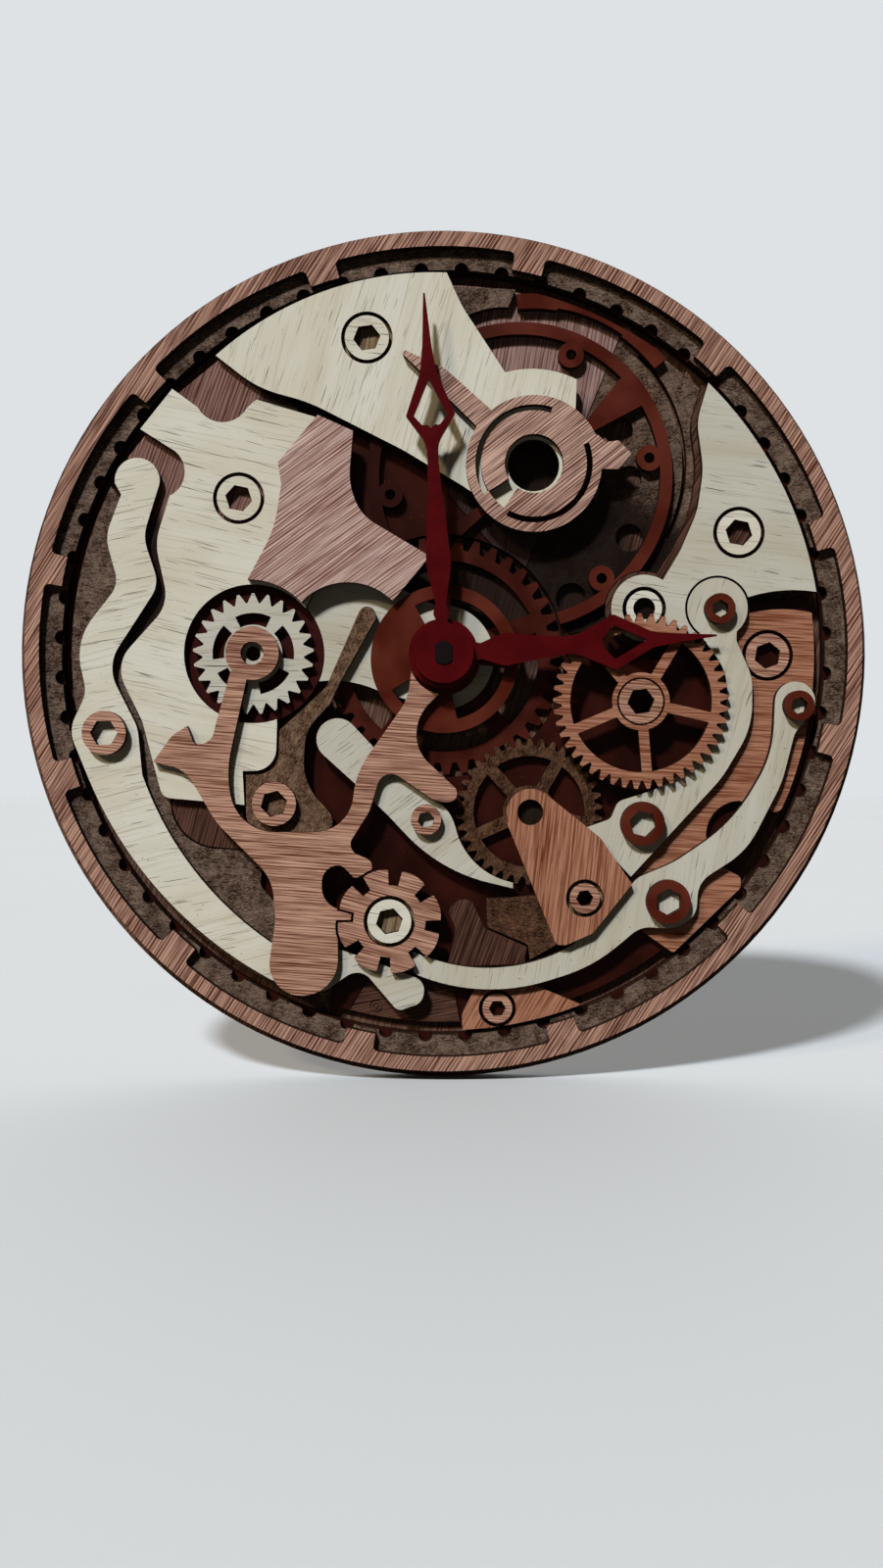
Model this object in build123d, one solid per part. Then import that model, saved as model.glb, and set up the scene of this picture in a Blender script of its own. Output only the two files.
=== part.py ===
from build123d import *
import os
from math import atan2, cos, degrees, hypot, radians, sin, tan

# Driving sizes in millimetres. The face looks along -Y, twelve o'clock is +Z and the
# hands turn about the Y axis. Heights grow from the rear of the back plate to the front.

# Rings and sheets
BEZEL_RADIUS = 150.0        # outer radius of the front ring
BEZEL_RIM = 5.2             # narrow band of the front ring between its tabs
RING_WIDTH = 12.5           # width of the rings below it
TAB_DEPTH = 6.2             # reach of the tabs inside that band
TAB_WIDTH = 11.0
TAB_COUNT = 12
TAB_TURN = 17.65            # degrees from three o'clock to the first tab
TAB_CORNER = 2.0            # rounding where a tab leaves the band
BACK_MARGIN = 4.0           # back plate beyond the front ring
SHEET = 3.0                 # thickness of every wooden sheet
FLOOR_GAP = 4.1             # groove between the ring stack and the floor inside it
INLAY_GAP = 0.35            # saw cut round a piece let into a floor
MINUTE_COUNT = 60
NOTCH_TURN = 3.3            # degrees from three o'clock to the first minute notch
MINUTE_NOTCH = 2.6          # radius of a minute notch
ENGRAVING_DEPTH = 0.4
ENGRAVING_WIDTH = 0.5
KERF_LINE = 1.5             # width of the arc line cut beside the balance
HUB_HOLE_PLAY = 0.2         # wooden hole round the movement's neck

# Ornament gears
ESCAPE_RADIUS = 21.6
ESCAPE_TEETH = 25
ESCAPE_PLAY = 3.2           # opening of the left plate beyond the escape gear
SPOKED_RADIUS = 31.2
SPOKED_TEETH = 45
BROWN_RADIUS = 26.5
BROWN_TEETH = 38
CENTRE_RADIUS = 43.0
CENTRE_TEETH = 40
POCKET_PLAY = 1.0           # opening of the floor beyond the centre wheel
STAR_RADIUS = 18.3
STAR_ARMS = 8
STAR_PLAY = 0.9             # fork lever clear of the star pinion
BALANCE_RADIUS = 54.9
BALANCE_RIM = 4.4
BALANCE_HUB = 20.0
BALANCE_BORE = 10.4
BALANCE_PLAY = 0.6          # balance wheel clear of the centre wheel below it
LUG_RADIUS = 4.6            # rounded lugs inside the balance wheel's rim
LUG_HOLE = 1.9
LUG_CIRCLE = 47.0           # distance of the lugs from the wheel's centre
RIM_RADIUS = 55.4           # inner radius of the arc beside the balance wheel
RIM_WIDTH = 5.3
KERF_RADIUS = 54.4
REGULATOR_RADIUS = 24.05
REGULATOR_BORE = 10.4

# Hexagon caps
DRAWN_CAP = 7.85            # radius of a large cap, as drawn
DRAWN_SMALL_CAP = 5.4
DRAWN_HEX = 4.9             # corner radius of the hexagon in a cap, as drawn
DRAWN_SMALL_HEX = 3.1
CAP_KERF = 1.35             # open ring round a cap that is let into a plate
BLOCK_RIM = 2.4             # hidden spacer block beyond the hole above it

# Hands
HAND_SHEET = 1.5
HAND_POINT = 0.3            # half width of a hand's tip
HAND_CLEARANCE = 0.9        # hour hand above the top layer
HAND_GAP = 1.5              # minute hand above the hour hand
HOUR_HUB_RADIUS = 12.3
HOUR_LENGTH = 96.8
HOUR_TURN = -86.2           # degrees about the arbor, from twelve o'clock
MINUTE_HUB_RADIUS = 10.6
MINUTE_LENGTH = 125.2
MINUTE_TURN = 3.1
HUB_FLAT = 6.0              # width of the minute hub across its flats
HUB_ROUND = 4.0             # radius of the minute hub's round sides
HUB_FLANGE = 5.2            # radius of its collar under the hand
HUB_COLLAR = 1.2
HUB_PROUD = 0.5

# Battery movement
HANGER_SHEET = 1.0
CASE_DEPTH = 13.5           # front wall and side walls
CASE_WALL = 1.6
CASE_CORNER = 4.0
COVER_SHEET = 1.5
WORKS_PLAY = 0.5            # wheels clear of the walls
NECK_RADIUS = 4.8           # threaded neck through the back plate
NUT_CORNER = 7.0
NUT_HEIGHT = 2.4
NECK_PROUD = 0.4
PIPE_RADIUS = 2.7           # hour pipe
ARBOR_RADIUS = 1.6          # minute arbor
RUNNING_PLAY = 0.08         # radial play of every running shaft
PIVOT_RADIUS = 0.7
PIVOT_DEPTH = 1.0
PIVOT_END_PLAY = 0.1        # room beyond the end of a pivot
WHEEL_SHEET = 1.2
WHEEL_GAP = 0.8             # axial room between neighbouring wheels
MOTION_MODULE = 0.5
HOUR_MODULE = 0.48
TRAIN_MODULE = 0.4
ARBOR_PINION_TEETH = 12
SETTING_TEETH = 36
SETTING_PINION_TEETH = 10
HOUR_TEETH = 40
MINUTE_TEETH = 48
THIRD_PINION_TEETH = 8
THIRD_TEETH = 40
ROTOR_PINION_TEETH = 8
SETTING_BEARING = 150.0     # degrees, direction from the arbor to the setting wheel
THIRD_BEARING = 40.0        # degrees, direction from the arbor to the third wheel
ROTOR_BEARING = 90.0        # degrees, direction from the third wheel to the rotor
SETTING_SHAFT = 1.2
MAGNET_RADIUS = 3.0
MAGNET_LENGTH = 2.0
STATOR_SHEET = 1.0
STATOR_PLAY = 0.6           # air gap between magnet and stator
STATOR_EDGE = 1.8           # iron left beside that gap
LEG = 2.0                   # width of the stator's coil leg
COIL_RADIUS = 1.8
COIL_LENGTH = 16.0
POST_RADIUS = 1.2
KNOB_RADIUS = 6.0
KNOB_HEIGHT = 2.3
KNOB_PLAY = 0.3
KNOB_GRIPS = 12
KNOB_GRIP = 0.7
CELL_RADIUS = 6.9
CELL_LENGTH = 48.4
CELL_NUB = 1.0
CELL_NUB_RADIUS = 2.6
CELL_PLAY = 0.3
CONTACT_SHEET = 0.5
CONTACT_WIDTH = 9.0
CONTACT_REACH = 1.7         # from an end wall to the battery
HANGER_WIDTH = 34.0
HANGER_STEP = 2.4           # hanger's shelf above the case
HANGER_FLANGE = 20.0        # height of its upright end
HANGER_PROUD = 0.3          # hanger's rear face behind the knob
NAIL_RADIUS = 3.5

# Values worked out from the sizes above
TAB_RADIUS = BEZEL_RADIUS - BEZEL_RIM - TAB_DEPTH
OPENING_RADIUS = BEZEL_RADIUS - RING_WIDTH
BACK, FLOOR, WORKS, PLATES, TOP = range(5)
TOP_HEIGHT = (TOP + 1) * SHEET
HOUR_LOW = TOP_HEIGHT + HAND_CLEARANCE
HOUR_HIGH = HOUR_LOW + HAND_SHEET
MINUTE_LOW = HOUR_HIGH + HAND_GAP
MINUTE_HIGH = MINUTE_LOW + HAND_SHEET
FRONT = MINUTE_HIGH + HUB_PROUD
CASE_FRONT = -HANGER_SHEET
CASE_INSIDE = CASE_FRONT - CASE_WALL
CASE_BACK = CASE_FRONT - CASE_DEPTH
COVER_BACK = CASE_BACK - COVER_SHEET
KNOB_FRONT = COVER_BACK - KNOB_PLAY
KNOB_BACK = KNOB_FRONT - KNOB_HEIGHT
REAR = KNOB_BACK - HANGER_PROUD
MIDDLE = (FRONT + REAR) / 2
NECK_HOLE = NECK_RADIUS + HUB_HOLE_PLAY
NUT_LOW = (PLATES + 1) * SHEET
ESCAPE_RECESS = ESCAPE_RADIUS + ESCAPE_PLAY
CENTRE_POCKET = CENTRE_RADIUS + POCKET_PLAY

# The face was drawn for an opening of this radius, and follows the real opening
DRAWN_OPENING = 137.5
ART = OPENING_RADIUS / DRAWN_OPENING
CAP_RADIUS = DRAWN_CAP * ART
SMALL_CAP_RADIUS = DRAWN_SMALL_CAP * ART
CAP_HEX = DRAWN_HEX * ART
SMALL_CAP_HEX = DRAWN_SMALL_HEX * ART

# Places on the face, as drawn
ESCAPE_SPOT = (-68.0, 0.3)
STAR_SPOT = (-19.3, -95.3)
SPOKED_SPOT = (70.3, -16.8)
BROWN_SPOT = (31.0, -56.3)
BALANCE_SPOT = (32.1, 67.3)
WHEEL_SPOT = (27.4, 64.2)
RIM_SPOT = (32.0, 68.5)
DISC_SPOT = (0.4, -1.6)
HOOK_SPOT = (71.8, 16.5)
LEVER_HEAD_SPOT = (98.0, 16.6)
BRIDGE_CAP = (-27.2, 112.5)
LEFT_CAP = (-73.0, 55.7)
RIGHT_CAP = (105.5, 43.5)
LEVER_CAP = (-120.9, -28.0)
BROWN_CAP = (-60.4, -53.3)
LOWER_CAP = (116.8, 0.0)
S_CAP = (-6.2, -59.0)
STRAP_CAP = (50.5, -87.0)
WEDGE_CAP = (19.6, -127.8)
HEAD_CAP = (98.4, 16.2)
RIGHT_LEVER_CAP = (71.2, -60.4)
SPRING_CAP = (80.5, -88.4)
SPRING_HEAD_CAP = (126.7, -18.3)
ENGRAVED_SPOT = (-24.5, -127.6)

VIA = "via"


def spot(place):
    """Place on the face, brought from the drawing to the real size."""
    return (place[0] * ART, place[1] * ART)


def around(centre, radius, angle):
    """Point at a radius and an angle in degrees from a centre."""
    turn = radians(angle)
    return (centre[0] + radius * cos(turn), centre[1] + radius * sin(turn))


def disc(centre, radius):
    """Round face about a real place."""
    return Pos(*centre) * Circle(radius)


def sector(centre, inner, outer, start, end):
    """Part of a ring between two radii and two angles in degrees."""
    middle = (start + end) / 2
    return make_face([
        ThreePointArc(*(around(centre, outer, a) for a in (start, middle, end))),
        Line(around(centre, outer, end), around(centre, inner, end)),
        ThreePointArc(*(around(centre, inner, a) for a in (end, middle, start))),
        Line(around(centre, inner, start), around(centre, outer, start)),
    ])


def bar(centre, width, start, end, angle):
    """Straight spoke from one radius to another in the direction of an angle."""
    place = around(centre, (start + end) / 2, angle)
    return Pos(*place) * Rot(0, 0, angle) * Rectangle(end - start, width)


def outline(corners, scale=1.0):
    """Closed outline through corners (x, z), rounded corners (x, z, radius) and arc points (x, z, VIA).

    A rounded corner is an arc tangent to its two sides. An arc point bends the stretch between its
    two neighbours. A radius that its sides leave no room for shrinks to what fits."""
    count = len(corners)
    points = [(c[0] * scale, c[1] * scale) for c in corners]
    bends = [c[2] if len(c) > 2 else 0 for c in corners]
    toward = []
    half = []
    setback = []
    for i in range(count):
        sides = []
        for j in (i - 1, (i + 1) % count):
            dx, dz = points[j][0] - points[i][0], points[j][1] - points[i][1]
            sides.append((dx / hypot(dx, dz), dz / hypot(dx, dz)))
        dot = sides[0][0] * sides[1][0] + sides[0][1] * sides[1][1]
        cross = sides[0][0] * sides[1][1] - sides[0][1] * sides[1][0]
        half.append(abs(atan2(cross, dot)) / 2)
        toward.append(sides)
        plain = VIA not in (bends[i - 1], bends[i], bends[(i + 1) % count])
        setback.append(bends[i] * scale / tan(half[i]) if plain else 0)
    room = [1.0] * count
    for i in range(count):
        j = (i + 1) % count
        length = hypot(points[j][0] - points[i][0], points[j][1] - points[i][1])
        if setback[i] + setback[j] > length:
            share = 0.999 * length / (setback[i] + setback[j])
            room[i] = min(room[i], share)
            room[j] = min(room[j], share)
    setback = [s * r for s, r in zip(setback, room)]
    arrive = [tuple(p + s * d for p, d in zip(points[i], toward[i][0])) for i, s in enumerate(setback)]
    leave = [tuple(p + s * d for p, d in zip(points[i], toward[i][1])) for i, s in enumerate(setback)]
    edges = []
    for i in range(count):
        after = (i + 1) % count
        if bends[i] == VIA:
            edges.append(ThreePointArc(leave[i - 1], points[i], arrive[after]))
            continue
        if setback[i] > 0:
            radius = setback[i] * tan(half[i])
            inward = radius / sin(half[i]) - radius
            bisector = [a + b for a, b in zip(*toward[i])]
            size = hypot(*bisector)
            crown = tuple(p + inward * b / size for p, b in zip(points[i], bisector))
            edges.append(ThreePointArc(arrive[i], crown, leave[i]))
        if bends[after] != VIA and hypot(*(a - b for a, b in zip(leave[i], arrive[after]))) > 1e-6:
            edges.append(Line(leave[i], arrive[after]))
    return make_face(edges)


def drawn(*corners):
    """Outline of a piece of the face, brought from the drawing to the real size."""
    return outline(corners, ART)


def toothed(centre, teeth, root, tip, root_share, tip_share, phase):
    """Gear face with straight-sided teeth. A share is half a tooth's width as a part of the pitch."""
    pitch = 360 / teeth
    corners = []
    for k in range(teeth):
        angle = phase + k * pitch
        corners.append(around(centre, root, angle - root_share * pitch))
        corners.append(around(centre, tip, angle - tip_share * pitch))
        corners.append(around(centre, tip, angle + tip_share * pitch))
        corners.append(around(centre, root, angle + root_share * pitch))
    return outline(corners)


def slab(face, low, high):
    """Solid over a face, between two heights."""
    return extrude(Plane.XZ.offset(low - MIDDLE) * face, high - low, dir=(0, -1, 0))


def layer(face, level, layers=1):
    """One or more sheets cut to a face, on a level of the stack."""
    return slab(face, level * SHEET, (level + layers) * SHEET)


def save(name, *solids):
    """Write one piece, or a group of separate like pieces, to its own file."""
    shapes = [solid for item in solids for solid in item.solids()]
    shape = shapes[0] if len(shapes) == 1 else Compound(children=shapes)
    export_step(shape, os.path.join("parts", name + ".step"))


# Rings


def back_plate():
    return layer(Circle(BEZEL_RADIUS + BACK_MARGIN) - Circle(NECK_HOLE), BACK)


def spacer_ring():
    return layer(Circle(BEZEL_RADIUS) - Circle(OPENING_RADIUS), FLOOR)


def minute_ring():
    face = Circle(BEZEL_RADIUS) - Circle(OPENING_RADIUS)
    for k in range(MINUTE_COUNT):
        angle = NOTCH_TURN + k * 360 / MINUTE_COUNT
        face -= disc(around((0, 0), OPENING_RADIUS, angle), MINUTE_NOTCH)
    return layer(face, WORKS)


def bezel_ring():
    outer = BEZEL_RADIUS - BEZEL_RIM
    half_tab = degrees(TAB_WIDTH / 2 / outer)
    pitch = 360 / TAB_COUNT
    face = Circle(BEZEL_RADIUS) - Circle(TAB_RADIUS)
    for k in range(TAB_COUNT):
        start = TAB_TURN + k * pitch + half_tab
        end = TAB_TURN + (k + 1) * pitch - half_tab
        gap = sector((0, 0), TAB_RADIUS - TAB_CORNER, outer, start, end)
        far = gap.vertices().sort_by(lambda v: hypot(v.X, v.Y))[-2:]
        face -= fillet(far, TAB_CORNER)
    return layer(face, PLATES)


# Floors inside the rings


def balance_floor_face():
    face = drawn((3.0, 133.2), (94.3, 94.3, VIA), (131.5, 22.0), (66.0, 12.0), (46.0, 8.0), (2.0, 58.0))
    return face - disc((0, 0), CENTRE_POCKET * ART)


def bottom_inlay_face():
    return drawn((-27.0, -117.0), (-34.0, -128.9), (-14.0, -132.6, VIA), (6.0, -133.2), (3.0, -117.0))


def red_floor():
    face = Circle(OPENING_RADIUS - FLOOR_GAP) - disc((0, 0), CENTRE_POCKET * ART)
    face -= offset(balance_floor_face(), INLAY_GAP, kind=Kind.INTERSECTION)
    face -= offset(bottom_inlay_face(), INLAY_GAP, kind=Kind.INTERSECTION)
    return layer(max(face.faces(), key=lambda f: f.area), FLOOR)


def balance_inlay_face():
    """Part of the balance floor left of a slanting saw cut."""
    return balance_floor_face() & drawn((0.0, 140.0), (73.7, 140.0), (24.9, 20.0), (0.0, 20.0))


def pierced(face):
    """Balance floor with the bore, the round holes inside the wheel's rim and the arc line beside it."""
    face -= disc(spot(BALANCE_SPOT), BALANCE_BORE * ART)
    for place, radius in (((63.3, 81.2), 5.3), ((67.5, 64.5), 4.2), ((67.3, 42.8), 5.0), ((46.3, 20.9), 5.6)):
        face -= disc(spot(place), radius * ART)
    inner = KERF_RADIUS * ART
    face -= sector(spot(RIM_SPOT), inner, inner + KERF_LINE, -28, 46)
    return layer(face, FLOOR)


def balance_floor():
    cut = offset(balance_inlay_face(), INLAY_GAP, kind=Kind.INTERSECTION)
    return pierced(balance_floor_face() - cut)


def balance_inlay():
    return pierced(balance_inlay_face())


def bottom_inlay():
    plate = layer(bottom_inlay_face(), FLOOR)
    face_height = (FLOOR + 1) * SHEET
    centre = spot(ENGRAVED_SPOT)
    for radius in (1.2, 2.4):
        ring = disc(centre, radius) - disc(centre, radius - ENGRAVING_WIDTH)
        plate -= slab(ring, face_height - ENGRAVING_DEPTH, face_height)
    return plate


def centre_wheel():
    tip = CENTRE_RADIUS * ART
    face = toothed((0, 0), CENTRE_TEETH, tip - 4.2 * ART, tip, 0.36, 0.15, 1.4)
    inner, hub = tip - 8.3 * ART, 17 * ART
    face -= disc((0, 0), inner) - disc((0, 0), hub)
    for k in range(5):
        face += bar((0, 0), 7 * ART, hub - 1, inner + 1, 20 + 72 * k)
    return layer(face - Circle(NECK_HOLE), FLOOR)


# Works layer: what lies directly on the floors


def left_floor():
    face = drawn((-119.3, 60.5), (-133.6, -8.0, VIA), (-42.0, -127.0), (-38.5, -113.0, 3),
                 (-58.0, -92.5, 5), (-66.5, -83.0, 5), (-65.0, -74.0, 4), (-71.5, -70.6), (-84.0, -69.6),
                 (-93.6, -64.8, VIA), (-98.6, -53.0), (-105.0, -32.0, 20), (-113.6, -14.0, 20),
                 (-113.6, 12.0, 20), (-106.0, 44.0, 20))
    return layer(face, WORKS)


def left_under_plate():
    face = drawn((-113.2, 70.8), (-95.2, 93.6), (-78.0, 107.5), (-60.0, 97.0), (-44.6, 79.0),
                 (-44.6, 24.0), (-40.0, 10.0), (-40.0, -12.0), (-56.0, -40.5), (-88.0, -40.5),
                 (-103.6, -31.0, 20), (-112.4, -13.0, 20), (-112.4, 12.4, 20), (-105.0, 46.0, 20))
    centre = spot(ESCAPE_SPOT)
    below = drawn((-62.0, 24.0), (-30.0, 24.0), (-30.0, -45.0), (-56.0, -45.0), (-60.0, -24.0))
    face -= below - disc(centre, ESCAPE_RECESS * ART)
    return layer(face, WORKS)


def lower_left_inlay():
    return layer(drawn((-98.0, -53.2), (-93.0, -64.4, VIA), (-84.0, -69.0), (-73.0, -70.0),
                       (-72.0, -44.0), (-92.0, -42.0)), WORKS)


def centre_crescent():
    face = drawn((-52.0, 23.4), (-44.0, 23.4), (-44.0, 29.0), (-22.0, 27.0), (-3.0, 18.0),
                 (18.2, 0.0, VIA), (0.0, -19.5), (-22.0, -13.4), (-33.0, -7.8, 40), (-50.0, -10.0))
    face -= disc(spot(ESCAPE_SPOT), ESCAPE_RECESS * ART + INLAY_GAP)
    face = max(face.faces(), key=lambda f: f.area)
    return layer(face - Circle(NECK_HOLE), WORKS)


def balance_wheel():
    """Rim with lugs and two flared arms, cut away over the centre wheel's teeth."""
    centre = spot(WHEEL_SPOT)
    outer = BALANCE_RADIUS * ART
    inner = outer - BALANCE_RIM
    face = disc(centre, outer) - disc(centre, inner) + disc(spot(BALANCE_SPOT), BALANCE_HUB * ART)
    face += drawn((46.0, 77.7), (65.2, 101.2), (74.0, 90.9), (47.0, 76.7))
    face += drawn((20.0, 58.1), (-20.0, 32.2), (-10.0, 28.4), (20.0, 55.2))
    lugs = [around(centre, LUG_CIRCLE * ART, angle) for angle in (8, 67, 128, 188, 309)]
    for place in lugs:
        face += disc(place, LUG_RADIUS * ART)
    for place in lugs:
        face -= disc(place, LUG_HOLE * ART)
    face -= disc((0, 0), (CENTRE_RADIUS + BALANCE_PLAY) * ART)
    face -= disc(spot(HOOK_SPOT), 13.9 * ART)
    face = max(face.faces(), key=lambda f: f.area)
    return layer(face - disc(spot(BALANCE_SPOT), BALANCE_BORE * ART), WORKS)


def rim_block():
    return layer(drawn((-14.0, 132.6), (25.8, 130.6), (23.2, 124.3), (14.0, 123.4, VIA), (7.4, 120.6),
                       (-14.0, 114.0)), WORKS)


def rim_arc():
    centre = spot(RIM_SPOT)
    inner = RIM_RADIUS * ART
    face = sector(centre, inner, inner + RIM_WIDTH * ART, 38, 95.5)
    face -= sector(centre, inner - 1, inner + 0.8 * ART, 55, 81)
    return layer(face & Circle(OPENING_RADIUS - FLOOR_GAP), WORKS)


def right_backing():
    face = drawn((92.6, 96.8), (117.6, 63.9, VIA), (132.4, 23.2), (106.0, 21.4), (97.0, 8.0), (88.0, 6.0),
                 (83.0, 11.0), (76.0, 3.8), (58.3, 16.5, VIA), (76.6, 29.2), (82.6, 38.0, 20),
                 (88.7, 52.0, 30), (90.8, 66.0, 30), (88.6, 83.0, 20))
    return layer(face, WORKS)


def right_lower_plate():
    face = drawn((108.0, 14.6), (118.0, 16.4, VIA), (132.6, 15.4), (133.4, -8.0, VIA), (124.6, -50.0),
                 (121.4, -57.4, 3), (113.0, -54.0, 4), (107.0, -52.4), (98.6, -56.0, VIA), (95.2, -67.0),
                 (92.0, -72.0), (99.4, -75.6), (107.6, -80.0, 1.5), (107.6, -84.0, 1.5),
                 (83.4, -107.6, 1), (69.5, -98.0), (66.5, -84.0), (78.0, -62.0), (95.0, -40.0, 30),
                 (103.0, -16.0, 30), (99.0, 2.0))
    return layer(face - disc(spot(LOWER_CAP), CAP_RADIUS + CAP_KERF), WORKS)


def brown_gear():
    centre = spot(BROWN_SPOT)
    tip = BROWN_RADIUS * ART
    inner = tip - 6.4 * ART
    hub = 9.4 * ART
    face = toothed(centre, BROWN_TEETH, tip - 2.7 * ART, tip, 0.36, 0.13, 4)
    face -= disc(centre, inner) - disc(centre, hub)
    for k in range(5):
        face += bar(centre, 4.4 * ART, hub - 1, inner + 1, 60 + 72 * k)
    return layer(face - disc(centre, 4.6 * ART), WORKS)


def bottom_wedge():
    face = drawn((7.0, -135.6), (6.6, -130.0, 8), (12.0, -119.5, 4), (30.0, -118.0), (50.0, -126.4, 0.6),
                 (29.0, -132.8, VIA))
    return layer(face - disc(spot(WEDGE_CAP), SMALL_CAP_RADIUS + CAP_KERF), WORKS)


def lower_bar():
    return layer(drawn((15.6, -88.0), (39.0, -86.4), (42.0, -104.0, 3), (31.4, -110.0), (30.6, -104.6),
                       (16.0, -98.2)), WORKS)


def lower_wood():
    return layer(drawn((1.6, -91.6, 3), (9.0, -86.0, 4), (15.0, -98.6), (30.2, -105.4), (29.4, -111.6),
                       (1.4, -112.6), (4.6, -99.0, 6)), WORKS)


# Plates layer, level with the front ring


def balance_bridge():
    face = drawn((-81.0, 106.2), (-45.0, 127.9, VIA), (1.2, 135.4), (6.6, 123.6, 30), (22.0, 100.2),
                 (34.0, 101.4, VIA), (47.5, 97.7), (46.6, 76.0, 4), (46.0, 60.0, 9), (34.0, 54.6, 9),
                 (28.0, 57.4, 2), (20.4, 51.0, 1), (7.0, 60.0), (-14.0, 72.6, 60), (-48.0, 89.8, 60),
                 (-66.0, 94.6, 40))
    face -= disc(spot(BALANCE_SPOT), 9.2 * ART)
    return layer(face - disc(spot(BRIDGE_CAP), CAP_RADIUS + CAP_KERF), PLATES)


def left_plate():
    face = drawn((-96.5, 94.4), (-87.4, 87.8), (-78.6, 82.6, VIA), (-70.0, 87.6), (-66.6, 90.6),
                 (-45.7, 84.5), (-42.0, 60.0), (-47.0, 21.0), (-60.0, -4.0), (-59.6, -25.0),
                 (-60.2, -41.6, 8), (-72.0, -41.6), (-71.4, -53.8), (-84.0, -52.6), (-100.8, -51.2, 4),
                 (-107.8, -24.0, 12), (-117.6, -3.4, 12), (-98.2, 18.0, 13), (-102.9, 40.0, 20),
                 (-97.6, 56.6), (-92.2, 65.6, VIA), (-97.6, 73.6), (-108.0, 80.2))
    face -= disc(spot(ESCAPE_SPOT), ESCAPE_RECESS * ART)
    face = max(face.faces(), key=lambda f: f.area)
    return layer(face - disc(spot(LEFT_CAP), CAP_RADIUS + CAP_KERF), PLATES)


def left_lever():
    return layer(drawn((-114.9, 57.0), (-117.1, 61.0), (-109.2, 70.0, VIA), (-101.2, 61.0),
                       (-107.2, 42.0, 14), (-101.6, 25.0, 10), (-120.6, -4.0, 14), (-109.6, -26.0, 14),
                       (-108.0, -43.0), (-92.4, -73.4, VIA), (-62.0, -103.4), (-53.0, -108.0),
                       (-53.0, -119.6), (-62.0, -116.8), (-103.2, -83.6, VIA), (-127.4, -44.0),
                       (-134.2, -27.0, 11), (-127.8, -13.6, 10), (-131.8, 5.0, 22), (-116.0, 25.0, 9),
                       (-120.7, 42.0, 14)), PLATES)


def escape_gear():
    centre = spot(ESCAPE_SPOT)
    tip = ESCAPE_RADIUS * ART
    face = toothed(centre, ESCAPE_TEETH, tip - 3.4 * ART, tip, 0.44, 0.08, 90)
    for k in range(5):
        face -= sector(centre, 10.4 * ART, 14.6 * ART, 90 + 72 * k - 26, 90 + 72 * k + 26)
    return layer(face - disc(centre, 2.6 * ART), PLATES)


def brown_lever():
    return layer(drawn((-30.0, 15.6, 3), (-26.8, 19.2, 3), (-23.6, 14.0, 3), (-36.6, -9.0),
                       (-40.6, -17.6, 6), (-49.4, -27.0, 14), (-50.6, -46.0, 20), (-35.0, -62.6, 8),
                       (-44.0, -66.0), (-68.0, -66.0, 3), (-70.8, -58.0), (-70.8, -43.0),
                       (-59.0, -42.6, 8), (-58.8, -27.0), (-50.0, -19.2), (-42.0, -11.6, 4)), PLATES)


def s_lever():
    return layer(drawn((-37.6, -19.6, 9), (-49.0, -30.4, 9), (-31.4, -46.4, 10), (-20.0, -57.4, 30),
                       (-1.0, -77.6, 60), (25.0, -83.8), (25.0, -81.8), (8.6, -77.2, 26),
                       (2.4, -55.0, 16), (-13.0, -46.0, 12)), PLATES)


def centre_disc():
    centre = spot(DISC_SPOT)
    face = disc(centre, 26.4 * ART)
    for start, end in ((96, 119), (8, 84), (-78, -8), (-150, -112)):
        face -= sector(centre, 12.6 * ART, 21.8 * ART, start, end)
    return layer(face - Circle(NECK_HOLE), PLATES)


def tail_spring():
    return layer(drawn((-51.0, -108.0), (-37.0, -106.0, 3), (-27.0, -109.4, 8), (-6.4, -117.4, 5),
                       (-7.6, -125.2, 5), (-16.4, -128.2, 3), (-28.6, -113.8, 7), (-33.6, -114.6, 8),
                       (-44.0, -122.0, 6), (-51.0, -118.6)), PLATES)


def right_plate():
    face = drawn((94.3, 96.6), (119.2, 63.6, VIA), (133.3, 22.4), (120.0, 22.8, VIA), (107.4, 20.0),
                 (104.0, 8.0), (90.0, 6.4), (83.6, 9.6), (78.0, 6.4), (60.0, 16.5, VIA), (78.4, 26.6),
                 (84.6, 37.0, 20), (90.6, 51.0, 30), (92.7, 66.0, 30), (90.3, 83.0, 20))
    face -= disc(spot(LEVER_HEAD_SPOT), 11.6 * ART)
    face = max(face.faces(), key=lambda f: f.area)
    face -= disc(spot(HOOK_SPOT), 7.8 * ART)
    return layer(face - disc(spot(RIGHT_CAP), CAP_RADIUS + CAP_KERF), PLATES)


def right_lever():
    face = drawn((105.0, 9.0), (104.8, 5.0, 3), (110.6, -8.0, 20), (110.6, -26.0, 30), (100.0, -44.0, 40),
                 (67.4, -79.6), (51.0, -62.0), (60.0, -58.8, 3), (62.6, -52.6, 4), (80.0, -47.0, 30),
                 (101.6, -26.0, 30), (101.6, -6.0, 20), (91.6, 7.6))
    return layer(face + disc(spot(LEVER_HEAD_SPOT), 10.8 * ART), PLATES)


def long_spring():
    face = drawn((118.8, -16.5), (118.0, -36.0, 40), (104.0, -60.0, 60), (83.0, -74.4, 40),
                 (70.0, -79.8, 8), (48.0, -104.4, 60), (16.0, -117.4, 90), (-11.0, -106.6),
                 (-10.6, -114.6, 3), (14.0, -124.6, 90), (54.0, -112.0, 60), (71.0, -97.6, 10),
                 (82.0, -98.4, 8), (91.0, -94.6, 8), (91.6, -81.6, 10), (109.0, -70.4, 30),
                 (121.4, -46.0, 40), (126.2, -27.0, 8), (132.0, -22.6, 3))
    return layer(face + disc(spot((126.0, -16.8)), 7.2 * ART), PLATES)


# Top layer


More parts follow.
